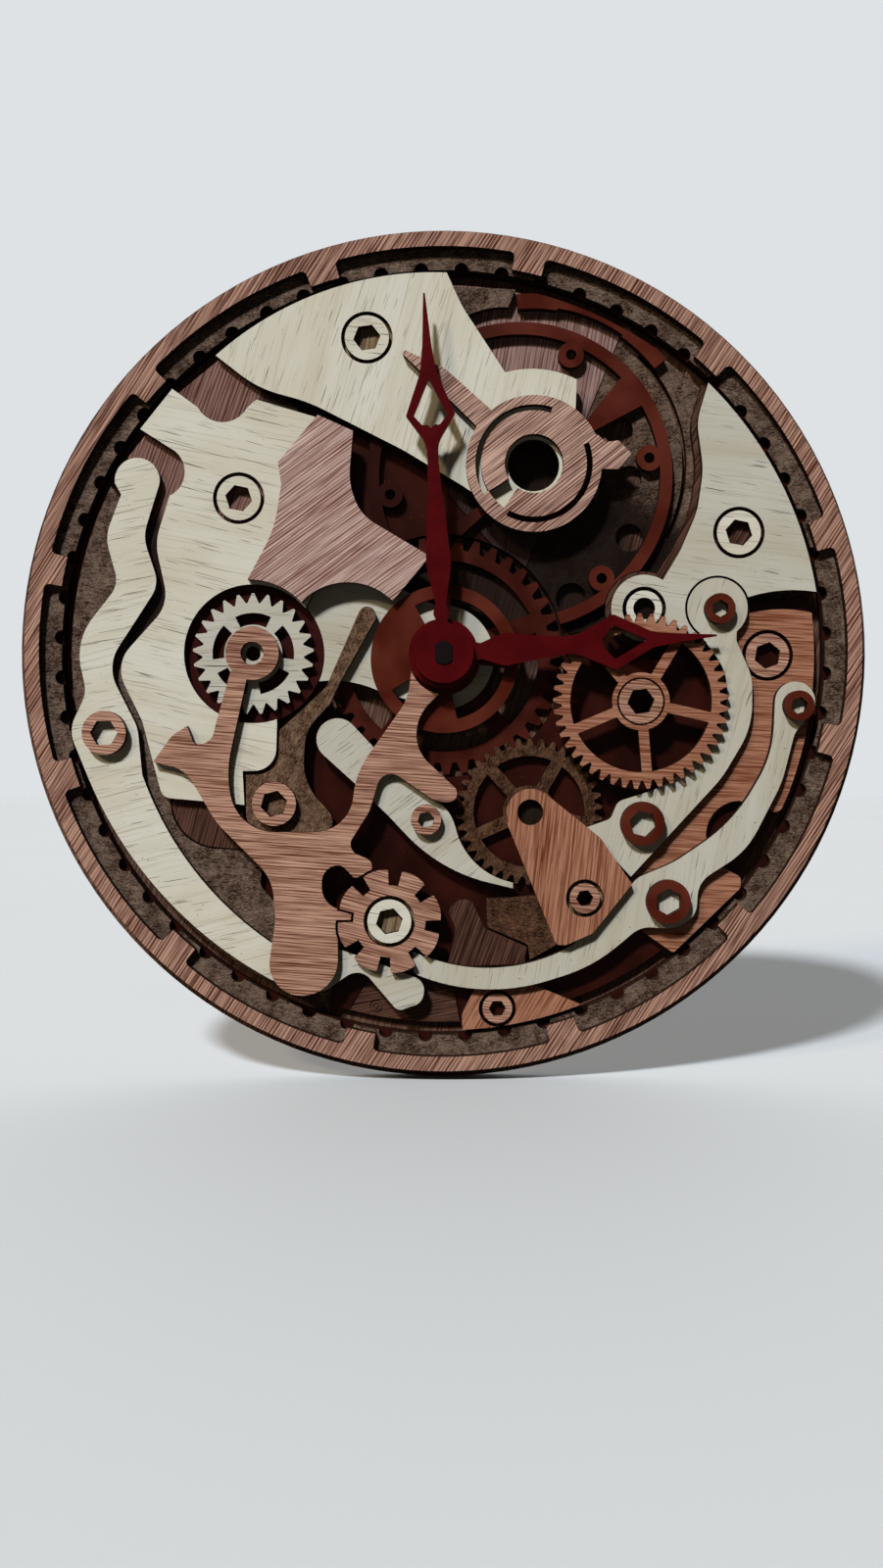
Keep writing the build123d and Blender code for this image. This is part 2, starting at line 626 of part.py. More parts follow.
def left_overlay():
    return layer(drawn((-44.5, 84.4), (-32.0, 78.8), (-33.6, 60.0, 24), (-29.0, 49.0, 16),
                       (-4.8, 34.6, 1.5), (-18.0, 18.8), (-33.6, 25.4, VIA), (-50.5, 18.4),
                       (-59.6, 24.6, VIA), (-69.5, 26.4), (-60.0, 44.0, 40), (-57.4, 60.0),
                       (-58.6, 67.6, 1)), TOP)


def fork_lever():
    face = drawn((-75.6, -6.0), (-81.0, -25.0, 30), (-82.4, -31.0, 5), (-88.6, -32.6, 2), (-91.2, -25.6),
                 (-96.6, -29.0, 8), (-103.4, -38.4), (-92.0, -41.0, 12), (-81.0, -60.0, 30),
                 (-61.0, -80.0, 18), (-60.0, -95.0, 20), (-64.0, -122.0, 14), (-37.6, -122.0, 16),
                 (-37.8, -96.0), (-32.6, -95.6, 1), (-32.6, -91.8, 1), (-43.4, -90.0, 8),
                 (-43.4, -76.0, 7), (-36.4, -75.0, 4), (-31.6, -80.0, 1.5), (-25.4, -77.0, 2),
                 (-25.6, -73.6, 3), (-35.0, -69.6, 4), (-26.4, -56.0, 14), (-21.4, -39.6, 5),
                 (-2.6, -52.6, 12), (5.6, -52.6, 3), (4.6, -48.0, 3), (-9.6, -34.6, 14),
                 (-9.6, -22.0, 16), (-1.6, -14.2), (-7.6, -11.4, VIA), (-11.4, -6.0), (-12.6, -16.0, 20),
                 (-31.0, -42.0, 30), (-33.6, -63.4, 14), (-73.4, -63.4, 16), (-77.4, -42.0, 40),
                 (-70.0, -9.0))
    face -= offset(star_face(), STAR_PLAY, kind=Kind.INTERSECTION)
    face = max(face.faces(), key=lambda f: f.area)
    centre = spot(ESCAPE_SPOT)
    return layer(face + disc(centre, 9.5 * ART) - disc(centre, 4.1 * ART), TOP)


def star_face():
    """Round body with flared teeth."""
    centre = spot(STAR_SPOT)
    tip = STAR_RADIUS * ART
    root = 12.9 * ART
    face = disc(centre, root)
    for k in range(STAR_ARMS):
        angle = 16 + k * 360 / STAR_ARMS
        corners = [around(centre, root - 1, angle - 15), around(centre, tip, angle - 14.6),
                   around(centre, tip * 1.02, angle) + (VIA,), around(centre, tip, angle + 14.6),
                   around(centre, root - 1, angle + 15)]
        face += outline(corners)
    return face


def star_pinion():
    return layer(star_face() - disc(spot(STAR_SPOT), CAP_RADIUS + CAP_KERF), TOP)


def regulator():
    centre = spot(BALANCE_SPOT)
    outer = REGULATOR_RADIUS * ART
    face = disc(centre, outer)
    face += drawn((-13.8, 107.2, 0.6), (0.6, 100.6), (16.4, 86.6), (24.0, 76.0), (17.0, 74.0),
                  (10.8, 81.4), (-14.4, 105.8, 0.6))
    face += drawn((48.0, 78.0), (54.6, 77.4), (57.6, 74.8), (62.0, 75.4), (66.6, 70.8, 0.6), (62.0, 65.3),
                  (56.0, 65.4), (50.0, 62.0))
    for start, end in ((71.6, 211), (-118, 21)):
        face -= sector(centre, 18.7 * ART, 20.8 * ART, start, end)
    face -= sector(centre, 8.0 * ART, 18.8 * ART, 211, 236)
    return layer(face - disc(centre, REGULATOR_BORE * ART), TOP)


def spoked_gear():
    centre = spot(SPOKED_SPOT)
    tip = SPOKED_RADIUS * ART
    inner = tip - 6.0 * ART
    hub = CAP_RADIUS + 2.4
    face = toothed(centre, SPOKED_TEETH, tip - 3.0 * ART, tip, 0.4, 0.14, 3)
    face -= disc(centre, inner) - disc(centre, hub)
    for k in range(5):
        face += bar(centre, 3.6 * ART, hub - 1, inner + 1, 59 + 72 * k)
    return layer(face - disc(centre, CAP_RADIUS + CAP_KERF / 2), TOP)


def strap():
    face = drawn((22.6, -60.0), (40.4, -103.8, 2), (44.0, -103.8, 2), (53.4, -99.6, 3), (67.4, -82.0, 1),
                 (56.0, -65.4), (36.0, -49.4))
    centre = spot(BROWN_SPOT)
    face = face + disc(centre, 8.4 * ART) - disc(centre, 4.6 * ART)
    return layer(face - disc(spot(STRAP_CAP), SMALL_CAP_RADIUS + CAP_KERF), TOP)


# Caps and hidden blocks


def cap(place, level, radius, corner, turn):
    """Round cap with a hexagon hole, turned by an angle in degrees."""
    centre = spot(place)
    return layer(disc(centre, radius) - Pos(*centre) * Rot(0, 0, turn) * RegularPolygon(corner, 6), level)


def large_cap(place, level, turn):
    return cap(place, level, CAP_RADIUS, CAP_HEX, turn)


def small_cap(place, level, turn):
    return cap(place, level, SMALL_CAP_RADIUS, SMALL_CAP_HEX, turn)


def pale_caps():
    hook = spot(HOOK_SPOT)
    bearing = layer(disc(hook, 6.4 * ART) - disc(hook, 3.9 * ART), PLATES)
    return [large_cap(BRIDGE_CAP, PLATES, 8), large_cap(LEFT_CAP, PLATES, 48),
            large_cap(RIGHT_CAP, PLATES, 48),
            large_cap(STAR_SPOT, TOP, 12), bearing]


def wood_caps():
    return [large_cap(LEVER_CAP, TOP, 0), large_cap(BROWN_CAP, TOP, 14), large_cap(LOWER_CAP, WORKS, 21),
            large_cap(SPOKED_SPOT, TOP, 7), small_cap(S_CAP, TOP, 12), small_cap(STRAP_CAP, TOP, 6),
            small_cap(WEDGE_CAP, WORKS, 2)]


def red_caps():
    return [small_cap(HEAD_CAP, TOP, 30), small_cap(SPRING_HEAD_CAP, TOP, 19),
            large_cap(RIGHT_LEVER_CAP, TOP, 45), large_cap(SPRING_CAP, TOP, 30)]


def spacer_blocks():
    """Blocks that carry raised pieces: place, radius, bore, lowest level and number of sheets."""
    large = CAP_RADIUS + CAP_KERF + BLOCK_RIM
    reach = hypot(*(a - b for a, b in zip(spot(STRAP_CAP), spot(BROWN_SPOT)))) - BROWN_RADIUS * ART
    small = min(SMALL_CAP_RADIUS + CAP_KERF + BLOCK_RIM, reach - INLAY_GAP)
    carried = [(BRIDGE_CAP, large, 0, WORKS, 1), (BROWN_CAP, CAP_RADIUS, 0, WORKS, 1),
               (STAR_SPOT, large, 0, WORKS, 2), (SPOKED_SPOT, large - BLOCK_RIM, CAP_HEX, WORKS, 2),
               (STRAP_CAP, small, SMALL_CAP_HEX, WORKS, 2), (S_CAP, SMALL_CAP_RADIUS, 0, WORKS, 1),
               (BROWN_SPOT, SMALL_CAP_RADIUS + CAP_KERF, 0, PLATES, 1)]
    blocks = []
    for place, radius, bore, level, count in carried:
        face = disc(spot(place), radius)
        if bore:
            face -= disc(spot(place), bore)
        blocks.append(layer(face, level, count))
    return blocks


# Hands


def hand_face(length, drawn_length, half_sides, half_window, hub_radius):
    """Spade hand towards twelve o'clock, mirrored from its half widths and stretched to its length."""
    stretch = length / drawn_length

    def mirrored(half, tip):
        right = [(x, z * stretch, bend) for x, z, bend in half]
        left = [(-x, z, bend) for x, z, bend in reversed(right) if x]
        return outline(right + tip + left)

    tip = [(HAND_POINT, length), (-HAND_POINT, length)]
    return mirrored(half_sides, tip) + Circle(hub_radius) - mirrored(half_window, [])


def hub_face():
    """Round hub with two flats, as the minute hand's hole and its hub share it."""
    return Circle(HUB_ROUND) & Rectangle(HUB_FLAT, 2 * HUB_ROUND)


def minute_hand():
    sides = [(2.6, 8.0, 0), (2.0, 11.6, 1), (2.9, 13.8, 2), (1.8, 17.0, 3), (4.5, 31.0, 20), (3.4, 46.0, 20),
             (2.5, 56.0, 20), (1.9, 67.4, 10), (2.2, 73.0, 10), (8.6, 82.6, 0.8), (2.9, 97.2, 3),
             (1.6, 106.6, 20)]
    window = [(0.0, 78.0, 0), (1.4, 79.2, 0.6), (3.0, 79.0, 1), (5.9, 82.4, 0.6), (0.0, 95.0, 0)]
    face = hand_face(MINUTE_LENGTH, 124.6, sides, window, MINUTE_HUB_RADIUS) - hub_face()
    return slab(Rot(0, 0, MINUTE_TURN) * face, MINUTE_LOW, MINUTE_HIGH)


def hour_hand():
    sides = [(3.6, 9.0, 0), (2.8, 13.4, 1), (5.9, 21.6, 8), (3.8, 36.0, 20), (2.8, 46.0, 12),
             (9.8, 60.8, 0.8), (2.7, 74.4, 4), (1.5, 83.8, 20)]
    window = [(1.6, 56.4, 0.8), (6.0, 60.6, 0.6), (0.0, 72.2, 0)]
    face = hand_face(HOUR_LENGTH, 96.8, sides, window, HOUR_HUB_RADIUS) - Circle(PIPE_RADIUS)
    return slab(Rot(0, 0, HOUR_TURN) * face, HOUR_LOW, HOUR_HIGH)


def minute_hub():
    body = slab(Rot(0, 0, MINUTE_TURN) * hub_face(), MINUTE_LOW, FRONT)
    body += slab(Circle(HUB_FLANGE), MINUTE_LOW - HUB_COLLAR, MINUTE_LOW)
    return body - slab(Circle(ARBOR_RADIUS), MINUTE_LOW - HUB_COLLAR, FRONT)


# Battery movement: places and heights of its wheels

HOUR_WHEEL_HIGH = CASE_INSIDE - WHEEL_GAP / 2
SETTING_WHEEL_HIGH = HOUR_WHEEL_HIGH - WHEEL_SHEET - WHEEL_GAP
MINUTE_WHEEL_HIGH = SETTING_WHEEL_HIGH - WHEEL_SHEET - WHEEL_GAP
THIRD_WHEEL_HIGH = MINUTE_WHEEL_HIGH - WHEEL_SHEET - WHEEL_GAP
MAGNET_HIGH = THIRD_WHEEL_HIGH - WHEEL_SHEET - WHEEL_GAP
STATOR_HIGH = MAGNET_HIGH - (MAGNET_LENGTH - STATOR_SHEET) / 2
MOTION_DISTANCE = MOTION_MODULE * (ARBOR_PINION_TEETH + SETTING_TEETH) / 2
THIRD_DISTANCE = TRAIN_MODULE * (MINUTE_TEETH + THIRD_PINION_TEETH) / 2
ROTOR_DISTANCE = TRAIN_MODULE * (THIRD_TEETH + ROTOR_PINION_TEETH) / 2
ARBOR_SPOT = (0.0, 0.0)
SETTING_SPOT = around(ARBOR_SPOT, MOTION_DISTANCE, SETTING_BEARING)
THIRD_SPOT = around(ARBOR_SPOT, THIRD_DISTANCE, THIRD_BEARING)
ROTOR_SPOT = around(THIRD_SPOT, ROTOR_DISTANCE, ROTOR_BEARING)
STATOR_RIGHT = ROTOR_SPOT[0] + MAGNET_RADIUS + STATOR_PLAY + STATOR_EDGE
STATOR_LOW = ROTOR_SPOT[1] - MAGNET_RADIUS - STATOR_PLAY - STATOR_EDGE
STATOR_TOP = ROTOR_SPOT[1] + MAGNET_RADIUS + STATOR_PLAY + 2 * STATOR_EDGE
COIL_RIGHT = ROTOR_SPOT[0] - MAGNET_RADIUS - STATOR_PLAY - STATOR_EDGE
COIL_MIDDLE = COIL_RIGHT - COIL_LENGTH / 2
STATOR_LEFT = COIL_RIGHT - COIL_LENGTH - 2 * STATOR_EDGE
POSTS = [(STATOR_LEFT + STATOR_EDGE, STATOR_TOP - 3 * STATOR_EDGE),
         (STATOR_RIGHT - STATOR_EDGE, STATOR_TOP - STATOR_EDGE)]
BAY_TOP = -max(HOUR_TEETH * HOUR_MODULE, MINUTE_TEETH * TRAIN_MODULE) / 2 - HOUR_MODULE - WORKS_PLAY
BAY_FLOOR = BAY_TOP - CASE_WALL
CELL_SPOT_Z = BAY_FLOOR - CELL_PLAY - CELL_RADIUS
CELL_HEIGHT = CASE_INSIDE - CELL_PLAY - CELL_RADIUS
ROOM_WIDTH = CELL_LENGTH + CELL_NUB + 2 * CONTACT_REACH
ROOM_LOW = CELL_SPOT_Z - CELL_RADIUS - CELL_PLAY
ROOM_TOP = STATOR_TOP + COIL_RADIUS + WORKS_PLAY
CASE_TOP = ROOM_TOP + CASE_WALL


def wheel(centre, teeth, module, phase, high, extra=0.0):
    """Toothed wheel of the movement. Its teeth are slim, so that they run with backlash."""
    pitch_radius = teeth * module / 2
    face = toothed(centre, teeth, pitch_radius - 1.1 * module, pitch_radius + 0.7 * module, 0.21, 0.1, phase)
    return slab(face, high - WHEEL_SHEET - extra, high + extra)


def facing(bearing, teeth):
    """Phase that puts a gap of a wheel against the tooth of the wheel it meets."""
    return bearing + 180 + 180 / teeth


def pivot(centre, low, high, radius=PIVOT_RADIUS):
    return slab(disc(centre, radius), low, high)


def movement_case():
    middle = Pos(0, (ROOM_TOP + ROOM_LOW) / 2)
    height = ROOM_TOP - ROOM_LOW
    box = middle * RectangleRounded(ROOM_WIDTH + 2 * CASE_WALL, height + 2 * CASE_WALL, CASE_CORNER)
    room = middle * RectangleRounded(ROOM_WIDTH, height, CASE_CORNER - CASE_WALL)
    floor = Pos(0, (BAY_TOP + BAY_FLOOR) / 2) * Rectangle(ROOM_WIDTH + CASE_WALL, CASE_WALL)
    body = slab(box, CASE_INSIDE, CASE_FRONT) + slab(box - room + floor, CASE_BACK, CASE_INSIDE)
    body += slab(Circle(NECK_RADIUS), CASE_FRONT, NUT_LOW + NUT_HEIGHT + NECK_PROUD)
    for post in POSTS:
        body += slab(disc(post, POST_RADIUS), STATOR_HIGH, CASE_INSIDE)
    body -= slab(Circle(PIPE_RADIUS + RUNNING_PLAY), CASE_INSIDE, NUT_LOW + NUT_HEIGHT + NECK_PROUD)
    for place in (SETTING_SPOT, THIRD_SPOT, ROTOR_SPOT):
        body -= pivot(place, CASE_INSIDE, CASE_INSIDE + PIVOT_DEPTH, PIVOT_RADIUS + RUNNING_PLAY)
    return body


def rear_cover():
    height = CASE_TOP - BAY_FLOOR
    width = ROOM_WIDTH + 2 * CASE_WALL
    face = Pos(0, BAY_FLOOR + height / 2) * RectangleRounded(width, height, CASE_CORNER / 2)
    face -= disc(SETTING_SPOT, SETTING_SHAFT + RUNNING_PLAY)
    cover = slab(face, COVER_BACK, CASE_BACK)
    for place in (ARBOR_SPOT, THIRD_SPOT, ROTOR_SPOT):
        cover -= pivot(place, CASE_BACK - PIVOT_DEPTH, CASE_BACK, PIVOT_RADIUS + RUNNING_PLAY)
    return cover


def neck_nut():
    return slab(RegularPolygon(NUT_CORNER, 6) - Circle(NECK_RADIUS), NUT_LOW, NUT_LOW + NUT_HEIGHT)


def hanger_plate():
    """Sheet steel plate under the neck, stepped back over the case, with a round hole for a nail."""
    half = HANGER_WIDTH / 2
    shelf = CASE_TOP + HANGER_STEP
    tip = shelf + HANGER_FLANGE
    flat = Pos(0, shelf / 2 - half / 2) * Rectangle(HANGER_WIDTH, shelf + half) - Circle(NECK_HOLE)
    upright = Pos(0, (shelf + tip) / 2) * Rectangle(HANGER_WIDTH, tip - shelf)
    rounded = fillet(upright.vertices().group_by(Axis.Y)[-1], half - HANGER_SHEET)
    step = Pos(0, shelf - HANGER_SHEET / 2) * Rectangle(HANGER_WIDTH, HANGER_SHEET)
    body = slab(flat, -HANGER_SHEET, 0) + slab(step, REAR, 0) + slab(rounded, REAR, REAR + HANGER_SHEET)
    return body - slab(disc((0, shelf + HANGER_FLANGE / 2), NAIL_RADIUS), REAR, REAR + HANGER_SHEET)


def hour_wheel():
    phase = facing(SETTING_BEARING + 180, HOUR_TEETH)
    body = wheel(ARBOR_SPOT, HOUR_TEETH, HOUR_MODULE, phase, HOUR_WHEEL_HIGH)
    body += slab(Circle(PIPE_RADIUS), HOUR_WHEEL_HIGH, HOUR_HIGH)
    return body - slab(Circle(ARBOR_RADIUS + RUNNING_PLAY), HOUR_WHEEL_HIGH - WHEEL_SHEET, HOUR_HIGH)


def minute_arbor():
    body = slab(Circle(ARBOR_RADIUS), CASE_BACK + PIVOT_END_PLAY, FRONT)
    body += wheel(ARBOR_SPOT, ARBOR_PINION_TEETH, MOTION_MODULE, SETTING_BEARING, SETTING_WHEEL_HIGH)
    body += wheel(ARBOR_SPOT, MINUTE_TEETH, TRAIN_MODULE, THIRD_BEARING, MINUTE_WHEEL_HIGH)
    return body + pivot(ARBOR_SPOT, CASE_BACK - PIVOT_DEPTH + PIVOT_END_PLAY, CASE_BACK + PIVOT_END_PLAY)


def setting_wheel():
    bearing = SETTING_BEARING
    body = slab(disc(SETTING_SPOT, SETTING_SHAFT), KNOB_BACK, HOUR_WHEEL_HIGH - WHEEL_SHEET)
    phase = facing(bearing, SETTING_TEETH)
    body += wheel(SETTING_SPOT, SETTING_TEETH, MOTION_MODULE, phase, SETTING_WHEEL_HIGH)
    body += wheel(SETTING_SPOT, SETTING_PINION_TEETH, HOUR_MODULE, bearing + 180, HOUR_WHEEL_HIGH)
    return body + pivot(SETTING_SPOT, HOUR_WHEEL_HIGH, CASE_INSIDE + PIVOT_DEPTH - PIVOT_END_PLAY)


def setting_knob():
    face = disc(SETTING_SPOT, KNOB_RADIUS) - disc(SETTING_SPOT, SETTING_SHAFT)
    for k in range(KNOB_GRIPS):
        face -= disc(around(SETTING_SPOT, KNOB_RADIUS, k * 360 / KNOB_GRIPS), KNOB_GRIP)
    return slab(face, KNOB_BACK, KNOB_FRONT)


def train_pivot(centre):
    low = CASE_BACK - PIVOT_DEPTH + PIVOT_END_PLAY
    return pivot(centre, low, CASE_INSIDE + PIVOT_DEPTH - PIVOT_END_PLAY)


def third_wheel():
    body = train_pivot(THIRD_SPOT)
    phase = facing(THIRD_BEARING, THIRD_PINION_TEETH)
    body += wheel(THIRD_SPOT, THIRD_PINION_TEETH, TRAIN_MODULE, phase, MINUTE_WHEEL_HIGH)
    return body + wheel(THIRD_SPOT, THIRD_TEETH, TRAIN_MODULE, ROTOR_BEARING, THIRD_WHEEL_HIGH)


def rotor():
    body = train_pivot(ROTOR_SPOT)
    phase = facing(ROTOR_BEARING, ROTOR_PINION_TEETH)
    body += wheel(ROTOR_SPOT, ROTOR_PINION_TEETH, TRAIN_MODULE, phase, THIRD_WHEEL_HIGH)
    return body + slab(disc(ROTOR_SPOT, MAGNET_RADIUS), MAGNET_HIGH - MAGNET_LENGTH, MAGNET_HIGH)


def stator():
    width = STATOR_RIGHT - STATOR_LEFT
    height = STATOR_TOP - STATOR_LOW
    middle = ((STATOR_RIGHT + STATOR_LEFT) / 2, (STATOR_TOP + STATOR_LOW) / 2)
    face = Pos(*middle) * Rectangle(width, height)
    window_top = STATOR_TOP - LEG
    window_low = STATOR_LOW + 2 * STATOR_EDGE
    window = Rectangle(COIL_LENGTH, window_top - window_low)
    face -= Pos(COIL_MIDDLE, (window_top + window_low) / 2) * window
    face -= disc(ROTOR_SPOT, MAGNET_RADIUS + STATOR_PLAY)
    return slab(face, STATOR_HIGH - STATOR_SHEET, STATOR_HIGH)


def drive_coil():
    leg_z = STATOR_TOP - LEG / 2
    leg_height = STATOR_HIGH - STATOR_SHEET / 2
    axis = Plane(origin=(COIL_MIDDLE, MIDDLE - leg_height, leg_z), x_dir=(0, 0, 1), z_dir=(1, 0, 0))
    winding = Circle(COIL_RADIUS) - Rectangle(LEG, STATOR_SHEET)
    return extrude(axis * winding, COIL_LENGTH / 2, both=True)


def lying(x, radius, length):
    """Round bar along X at the battery's height, from x onwards."""
    axis = Plane(origin=(x, MIDDLE - CELL_HEIGHT, CELL_SPOT_Z), x_dir=(0, 0, 1), z_dir=(1, 0, 0))
    return extrude(axis * Circle(radius), length)


def battery():
    start = -(CELL_LENGTH + CELL_NUB) / 2
    return lying(start, CELL_RADIUS, CELL_LENGTH) + lying(start + CELL_LENGTH, CELL_NUB_RADIUS, CELL_NUB)


def battery_contacts():
    """Two leaf contacts on the end walls, each with a round stud that meets the battery."""
    plates = []
    for side in (-1, 1):
        origin = (side * ROOM_WIDTH / 2, MIDDLE - CELL_HEIGHT, CELL_SPOT_Z)
        wall = Plane(origin=origin, x_dir=(0, 0, 1), z_dir=(-side, 0, 0))
        leaf = extrude(wall * Rectangle(CONTACT_WIDTH, CONTACT_WIDTH), CONTACT_SHEET)
        plates.append(leaf + extrude(wall * Circle(CELL_NUB_RADIUS), CONTACT_REACH))
    return plates


SINGLE = [
    back_plate, spacer_ring, minute_ring, bezel_ring, red_floor, balance_floor, balance_inlay, bottom_inlay,
    centre_wheel,
    left_floor, left_under_plate, lower_left_inlay, centre_crescent, balance_wheel, rim_block, rim_arc,
    right_backing, right_lower_plate, brown_gear, bottom_wedge, lower_bar, lower_wood,
    balance_bridge, left_plate, left_lever, escape_gear, brown_lever, s_lever, centre_disc, tail_spring,
    right_plate, right_lever, long_spring,
    left_overlay, fork_lever, star_pinion, regulator, spoked_gear, strap,
    minute_hand, hour_hand, minute_hub,
    movement_case, rear_cover, neck_nut, hanger_plate, hour_wheel, minute_arbor, setting_wheel, setting_knob,
    third_wheel, rotor, stator, drive_coil, battery,
]
GROUPS = [pale_caps, wood_caps, red_caps, spacer_blocks, battery_contacts]

os.makedirs("parts", exist_ok=True)
for make in SINGLE:
    save(make.__name__, make())
for make in GROUPS:
    save(make.__name__, *make())
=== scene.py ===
from math import radians

import bpy
import numpy as np
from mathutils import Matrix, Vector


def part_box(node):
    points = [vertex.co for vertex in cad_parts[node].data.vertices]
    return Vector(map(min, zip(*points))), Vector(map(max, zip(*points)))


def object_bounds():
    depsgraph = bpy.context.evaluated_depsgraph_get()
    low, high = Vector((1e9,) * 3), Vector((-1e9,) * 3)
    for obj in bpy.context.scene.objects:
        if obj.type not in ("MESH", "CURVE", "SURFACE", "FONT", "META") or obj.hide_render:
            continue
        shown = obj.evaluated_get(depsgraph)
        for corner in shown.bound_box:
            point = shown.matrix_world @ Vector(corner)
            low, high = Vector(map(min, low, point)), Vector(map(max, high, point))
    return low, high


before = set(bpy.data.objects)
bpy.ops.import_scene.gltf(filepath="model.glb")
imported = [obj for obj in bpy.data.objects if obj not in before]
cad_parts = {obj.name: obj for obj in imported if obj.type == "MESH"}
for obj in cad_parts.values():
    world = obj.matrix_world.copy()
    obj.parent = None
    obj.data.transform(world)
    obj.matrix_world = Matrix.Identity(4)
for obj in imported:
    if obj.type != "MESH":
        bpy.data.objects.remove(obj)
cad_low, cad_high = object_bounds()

MM = 0.001
SHEET = 3 * MM              # thickness of every cut sheet
REAR_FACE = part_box("back_plate")[1].y       # y from which the sheets are counted
FLOOR_HEIGHT = cad_low.z

# Places on the face, in mm across and up from the hands' axis.
ESCAPE_PLACE = (-68.0, 0.3)     # middle of the escape gear
DEEP_PLACE = (24.0, 42.0)       # middle of the deepest part of the face
STRAP_PLACE = (31.0, -56.3)     # middle of the strap's bore
HOLE_PLACE = (71.8, 16.5)       # middle of the hole beside the hour hand


def tone(red, green, blue):
    """Colour from eight-bit screen values: the usual power curve turns each into a share of light."""
    screen = np.array([red, green, blue]) / 255
    light = np.where(screen > 0.04045, ((screen + 0.055) / 1.055) ** 2.4, screen / 12.92)
    return (*light.tolist(), 1.0)


class Nodes:
    """Node tree of a finish or of the room, whose nodes are laid and joined by short calls."""

    def __init__(self, tree):
        self.tree = tree
        tree.nodes.clear()

    def lay(self, kind, **settings):
        """New node of this kind."""
        node = self.tree.nodes.new(kind)
        for key, value in settings.items():
            setattr(node, key, value)
        return node

    def feed(self, socket, value):
        """Sets a socket to a number or colour, or joins it to another node."""
        if isinstance(value, bpy.types.NodeSocket):
            self.tree.links.new(value, socket)
        else:
            socket.default_value = value

    def reckon(self, operation, first, second=0.0, clamp=False):
        """One step of arithmetic on two values, kept between nought and one where clamped."""
        node = self.lay("ShaderNodeMath", operation=operation, use_clamp=clamp)
        self.feed(node.inputs[0], first)
        self.feed(node.inputs[1], second)
        return node.outputs[0]

    def between(self, value, low, high, start=0.0, end=1.0):
        """Start below low, end above high, and a smooth step from one to the other."""
        node = self.lay("ShaderNodeMapRange", interpolation_type="SMOOTHSTEP")
        for socket, number in zip(node.inputs, (value, low, high, start, end)):
            self.feed(socket, number)
        return node.outputs[0]

    def mixed(self, share, first, second, blend="MIX"):
        """Two colours, with this share of the second."""
        node = self.lay("ShaderNodeMix", data_type="RGBA", blend_type=blend)
        self.feed(node.inputs[0], share)
        self.feed(node.inputs[6], first)
        self.feed(node.inputs[7], second)
        return node.outputs[2]

    def split(self, vector):
        """The three parts of a place or a direction."""
        node = self.lay("ShaderNodeSeparateXYZ")
        self.feed(node.inputs[0], vector)
        return node.outputs

    def direct_rays(self):
        """One for what is seen straight, mirrored or through glass, and nought for other light."""
        path = self.lay("ShaderNodeLightPath")
        total = path.outputs["Is Camera Ray"]
        for name in ("Is Glossy Ray", "Is Transmission Ray"):
            total = self.reckon("MAXIMUM", total, path.outputs[name])
        return total


